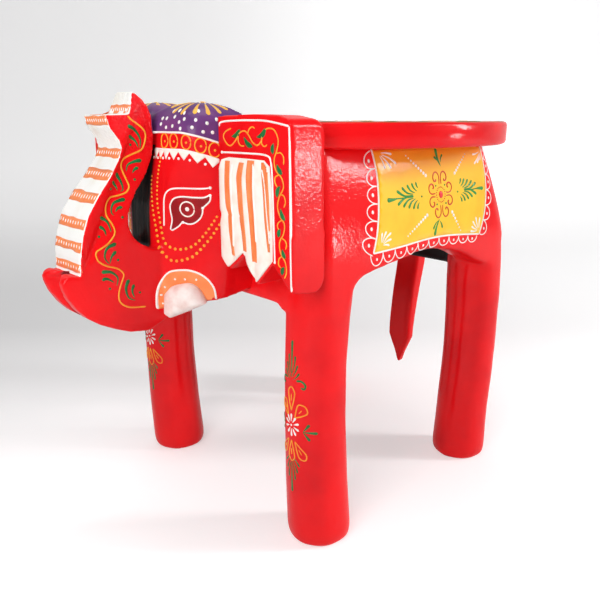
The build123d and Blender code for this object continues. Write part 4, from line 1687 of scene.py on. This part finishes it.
for end, side, rise in ((-1, LEFT, 3.5), (-1, RIGHT, FAR_RISE), (1, LEFT, 45), (1, RIGHT, 45)):
    paint_leg(end, side, rise)

# ----------------------------------------------------------------- seat top

# Radius of the yellow disc in the medallion, and the number of loops round it.
DISC_R, LOOPS = 66, 24


def ring_path(radius, count=72):
    """A circle on the seat, held back from its straight front edge."""
    limit = BODY_FRONT + 5
    turns = [math.tau * i / count - math.pi for i in range(count + 1)]
    return [(max(radius * math.cos(turn), limit), radius * math.sin(turn)) for turn in turns]


def seat_layer(name, under, colour, outline, step):
    """One flat colour of the seat's top, laid on the piece under it."""
    canvas = top_canvas(name, under)
    field(canvas, colour, outline, step, 0.1)
    lay_coats(name)
    return bpy.data.objects[f"{name}_{colour}"]


def paint_seat():
    """A medallion with a dotted rim, a ring of loops and twelve arms, on the seat's top."""
    border = seat_layer("seat_border", seat_plank, "green", ring_path(SEAT_R - 1.2, 120)[:-1], 9)
    ground = seat_layer("seat_ground", border, "red", ring_path(SEAT_R - 19, 120)[:-1], 8)
    disc = seat_layer("seat_disc", ground, "yellow_seat", ring_path(DISC_R, 90)[:-1], 6)
    name = "seat_lines"
    rim, over, middle = (top_canvas(name, under) for under in (border, ground, disc))
    stroke(rim, "green", ring_path(SEAT_R - 3.4), 2.6, 0.6, smooth=2)
    stroke(rim, "white", ring_path(SEAT_R - 11), 1.4, 0.35, smooth=2)
    stroke(rim, "white", ring_path(SEAT_R - 19), 1.6, 0.35, smooth=2)
    stroke(over, "white", ring_path(DISC_R, 60), 1.8, 0.5, smooth=2)
    for u, v in oval(0, 0, SEAT_R - 15, SEAT_R - 15, 72):
        if u > BODY_FRONT + 7:
            dot(rim, "gold", u, v, 1.6, 0.4)
    for i in range(LOOPS):
        angle = math.tau * (i + 0.5) / LOOPS
        c, s = math.cos(angle), math.sin(angle)
        loop = []
        for step in range(9):
            across = math.pi * step / 8
            bend = angle + math.cos(across) * math.tau / (2 * LOOPS)
            reach = DISC_R + 0.8 + 11 * math.sin(across)
            loop.append((reach * math.cos(bend), reach * math.sin(bend)))
        stroke(over, "white", loop, 1.2, 0.4, smooth=3)
        dot(over, "white", 72 * c, 72 * s, 1.3, 0.4)
        drop(over, "green", (84 * c, 84 * s), (96 * c, 96 * s), 3.6, 0, 0.4)
        dot(middle, "petal", 11 * s, 11 * c, 0.9, 0.4)
    for i in range(12):
        seat_arm(over, middle, math.tau * i / 12)
    dot(middle, "red", 0, 0, 7, 0.6)
    lay_coats(name)


def seat_arm(over, middle, angle):
    """One of the twelve arms of the medallion, and the petal outside it."""
    c, s = math.cos(angle), math.sin(angle)

    def turned(along, across):
        return along * c - across * s, along * s + across * c

    if 124 * c > BODY_FRONT + 12:
        teardrop(over, "gold", turned(98, 0), turned(122, 0), 13)
        for half in (-1, 1):
            drop(over, "white", turned(102, 8 * half), turned(116, 12 * half), 2.4, 0.1 * half, 0.4)
    drop(middle, "petal", turned(14, 0), turned(34, 0), 6)
    drop(middle, "green", turned(36, 0), turned(52, 0), 3.6)
    for half in (-1, 1):
        drop(middle, "green", turned(38, 0), turned(48, 6 * half), 2.4, 0.1 * half)
    dot(middle, "white", *turned(58, 0), 1.6)
    dot(middle, "petal", *turned(26, 7), 1.3)


paint_seat()

# --------------------------------------------------------- stage and camera

# The floor in metres: half its width, its straight part, the curve up and the top.
FLOOR_HALF = 6
FLOOR_START, FLOOR_END, CURVE_R, WALL_TOP = -4, 1.5, 1.2, 5
# The camera's heading, in degrees from +X, which the floor follows.
CAMERA_HEADING = 47.3
# Painted light and shade on the paper, along the way the camera looks, with a soft pool of painted
# shade behind and to the left: (metres past the seat, tone).
LEFT_PAINTED_LIGHT = [
    (-0.14, 0.74), (-0.01, 0.69), (0.08, 0.61), (0.2, 0.52), (0.36, 0.435), (0.6, 0.465),
    (1, 0.56), (1.5, 0.70), (2, 0.78),
]
RIGHT_PAINTED_LIGHT = [
    (-0.14, 0.74), (0.2, 0.735), (0.36, 0.65), (0.6, 0.67), (1, 0.70), (1.5, 0.85), (2, 0.98),
]
TONE_NEAR, TONE_FAR = -0.2, 2.2
# How strongly the paper glows, as painted light, for camera, glossy and transmission rays.
FLOOR_GLOW = 0.46
# Colour of the paper, and the tone at which it has that colour.
PAPER = (0.72, 0.71, 0.715)
PAPER_TONE = 0.735


def painted_light_ramp(paper, distance, tones):
    """Painted light and shade: a grey that follows a list of tones along the floor."""
    ramp = paper.tree.nodes.new("ShaderNodeValToRGB")
    paper.put(ramp.inputs[0], distance)
    stops = ramp.color_ramp.elements
    while len(stops) < len(tones):
        stops.new(0.5)
    for stop, (place, tone) in zip(stops, tones):
        stop.position = (place - TONE_NEAR) / (TONE_FAR - TONE_NEAR)
        stop.color = (tone, tone, tone, 1)
    return ramp.outputs[0]


def floor_paper(heading, across):
    """Studio paper with painted light: white in front, a soft grey pool of painted shade behind and
    to the left, glowing for camera, glossy and transmission rays.
    """
    paper = Finish("floor_paper", 0.7, 0.1)

    def along(way):
        parts = [paper.maths("MULTIPLY", paper.axis(name), way[i]) for i, name in enumerate("XY")]
        return paper.maths("ADD", *parts)

    past = paper.maths("ADD", along(heading), -CENTRE_X * heading.x)
    distance = paper.maths("DIVIDE", paper.maths("ADD", past, -TONE_NEAR), TONE_FAR - TONE_NEAR)
    left = painted_light_ramp(paper, distance, LEFT_PAINTED_LIGHT)
    right = painted_light_ramp(paper, distance, RIGHT_PAINTED_LIGHT)
    tone = paper.mix(paper.between(along(across), -0.55, 0.55), left, right)
    # Painted light: the paper glows with its tone for camera, glossy and transmission rays.
    seen = paper.tree.nodes.new("ShaderNodeLightPath")
    rays = paper.maths("MAXIMUM", seen.outputs["Is Camera Ray"], seen.outputs["Is Glossy Ray"])
    rays = paper.maths("MAXIMUM", rays, seen.outputs["Is Transmission Ray"])
    glow_strength = paper.maths("MULTIPLY", rays, FLOOR_GLOW / PAPER_TONE)
    paper.put(paper.shader.inputs["Emission Color"], tone)
    paper.put(paper.shader.inputs["Emission Strength"], glow_strength)
    white = tuple(part / PAPER_TONE for part in PAPER)
    tinted = paper.tree.nodes.new("ShaderNodeMix")
    tinted.data_type = "RGBA"
    tinted.blend_type = "MULTIPLY"
    tinted.inputs["Factor"].default_value = 1
    paper.put(tinted.inputs["A"], tone)
    paper.put(tinted.inputs["B"], white)
    return paper.done(tinted.outputs["Result"])


def stage():
    """Pale floor that curves up into a backdrop."""
    profile = [(FLOOR_START, 0), (FLOOR_END, 0)]
    for step in range(1, 13):
        angle = math.pi / 2 * step / 12
        reach, height = CURVE_R * math.sin(angle), CURVE_R - CURVE_R * math.cos(angle)
        profile.append((FLOOR_END + reach, height))
    profile.append((FLOOR_END + CURVE_R, WALL_TOP))
    turn = math.radians(CAMERA_HEADING)
    heading = Vector((math.cos(turn), math.sin(turn), 0))
    across = Vector((heading.y, -heading.x, 0))
    points = []
    for distance, height in profile:
        for side in (-1, 1):
            points.append(heading * distance + across * side * FLOOR_HALF + Vector((0, 0, height)))
    faces = [(2 * i, 2 * i + 1, 2 * i + 3, 2 * i + 2) for i in range(len(profile) - 1)]
    floor = new_object("floor", points, faces)
    for polygon in floor.data.polygons:
        polygon.use_smooth = True
    floor.data.materials.append(floor_paper(heading, across))


stage()

# The shell round the stage: radius in metres, its light, and how bright it is seen.
SKY_R, SKY_LIGHT, SKY_SEEN = 11, 0.17, 0.8


def sky():
    """A pale shell all round: it gives the world's light and is seen as pale paper."""
    rings = []
    for i in range(1, 24):
        up = math.pi * (i / 24 - 0.5)
        flat, height = SKY_R * math.cos(up), SKY_R * math.sin(up)
        turns = [math.tau * k / 48 for k in range(48)]
        ring = [(flat * math.cos(turn), flat * math.sin(turn), height) for turn in turns]
        rings.append([Vector(point) for point in ring])
    shell = loft("sky_shell", rings)
    paper = Finish("sky_paper", 1, 0)
    seen = paper.tree.nodes.new("ShaderNodeLightPath").outputs["Is Camera Ray"]
    light = paper.maths("ADD", paper.maths("MULTIPLY", seen, SKY_SEEN - SKY_LIGHT), SKY_LIGHT)
    paper.put(paper.shader.inputs["Emission Color"], (1, 1, 1))
    paper.put(paper.shader.inputs["Emission Strength"], light)
    shell.data.materials.append(paper.done((0, 0, 0)))


sky()

# Fitted to the photo: place, degrees below level, focal length and frame in pixels.
CAMERA_AT = (-393, -400.3, 306)
CAMERA_DIP = 15.9
FOCAL_PX, FRAME_PX = 632, 600
SENSOR = 36

camera_data = bpy.data.cameras.new("camera")
camera_data.sensor_width = SENSOR
camera_data.lens = FOCAL_PX / FRAME_PX * SENSOR
camera = added("camera", camera_data)
camera.location = at(*CAMERA_AT)
camera.rotation_euler = (math.radians(90 - CAMERA_DIP), 0, math.radians(CAMERA_HEADING - 90))
bpy.context.scene.camera = camera


def area_light(name, place, target, size, power):
    """A soft rectangular lamp aimed at a point, unseen by the camera; size is width and height."""
    data = bpy.data.lights.new(name, "AREA")
    data.shape = "RECTANGLE"
    data.size, data.size_y = size
    data.energy = power
    lamp = added(name, data)
    lamp.location = place
    aim = Vector(target) - Vector(place)
    lamp.rotation_euler = aim.to_track_quat("-Z", "Y").to_euler()
    lamp.visible_camera = False


area_light("key", (1.3, -1.6, 1.5), (0, 0, 0.2), (0.6, 0.6), 4)
area_light("softbox", (1.43, -1.39, 0.93), (-0.03, -0.12, 0.28), (0.3, 0.6), 23)
area_light("strip", (1.131, -1.452, 0.19), (-0.09, -0.12, 0.28), (0.13, 0.18), 3.8)
area_light("fill", (-0.62, -0.33, 0.45), (-0.15, -0.02, 0.24), (0.4, 0.4), 3.4)
area_light("top", (0, 0.2, 2.4), (0, 0, 0), (1.4, 1.4), 20)

world = bpy.data.worlds.new("studio")
bpy.context.scene.world = world
world.use_nodes = True
background = world.node_tree.nodes["Background"].inputs
background["Color"].default_value = (1, 1, 1, 1)
background["Strength"].default_value = SKY_LIGHT
bpy.context.scene.view_settings.view_transform = "Standard"
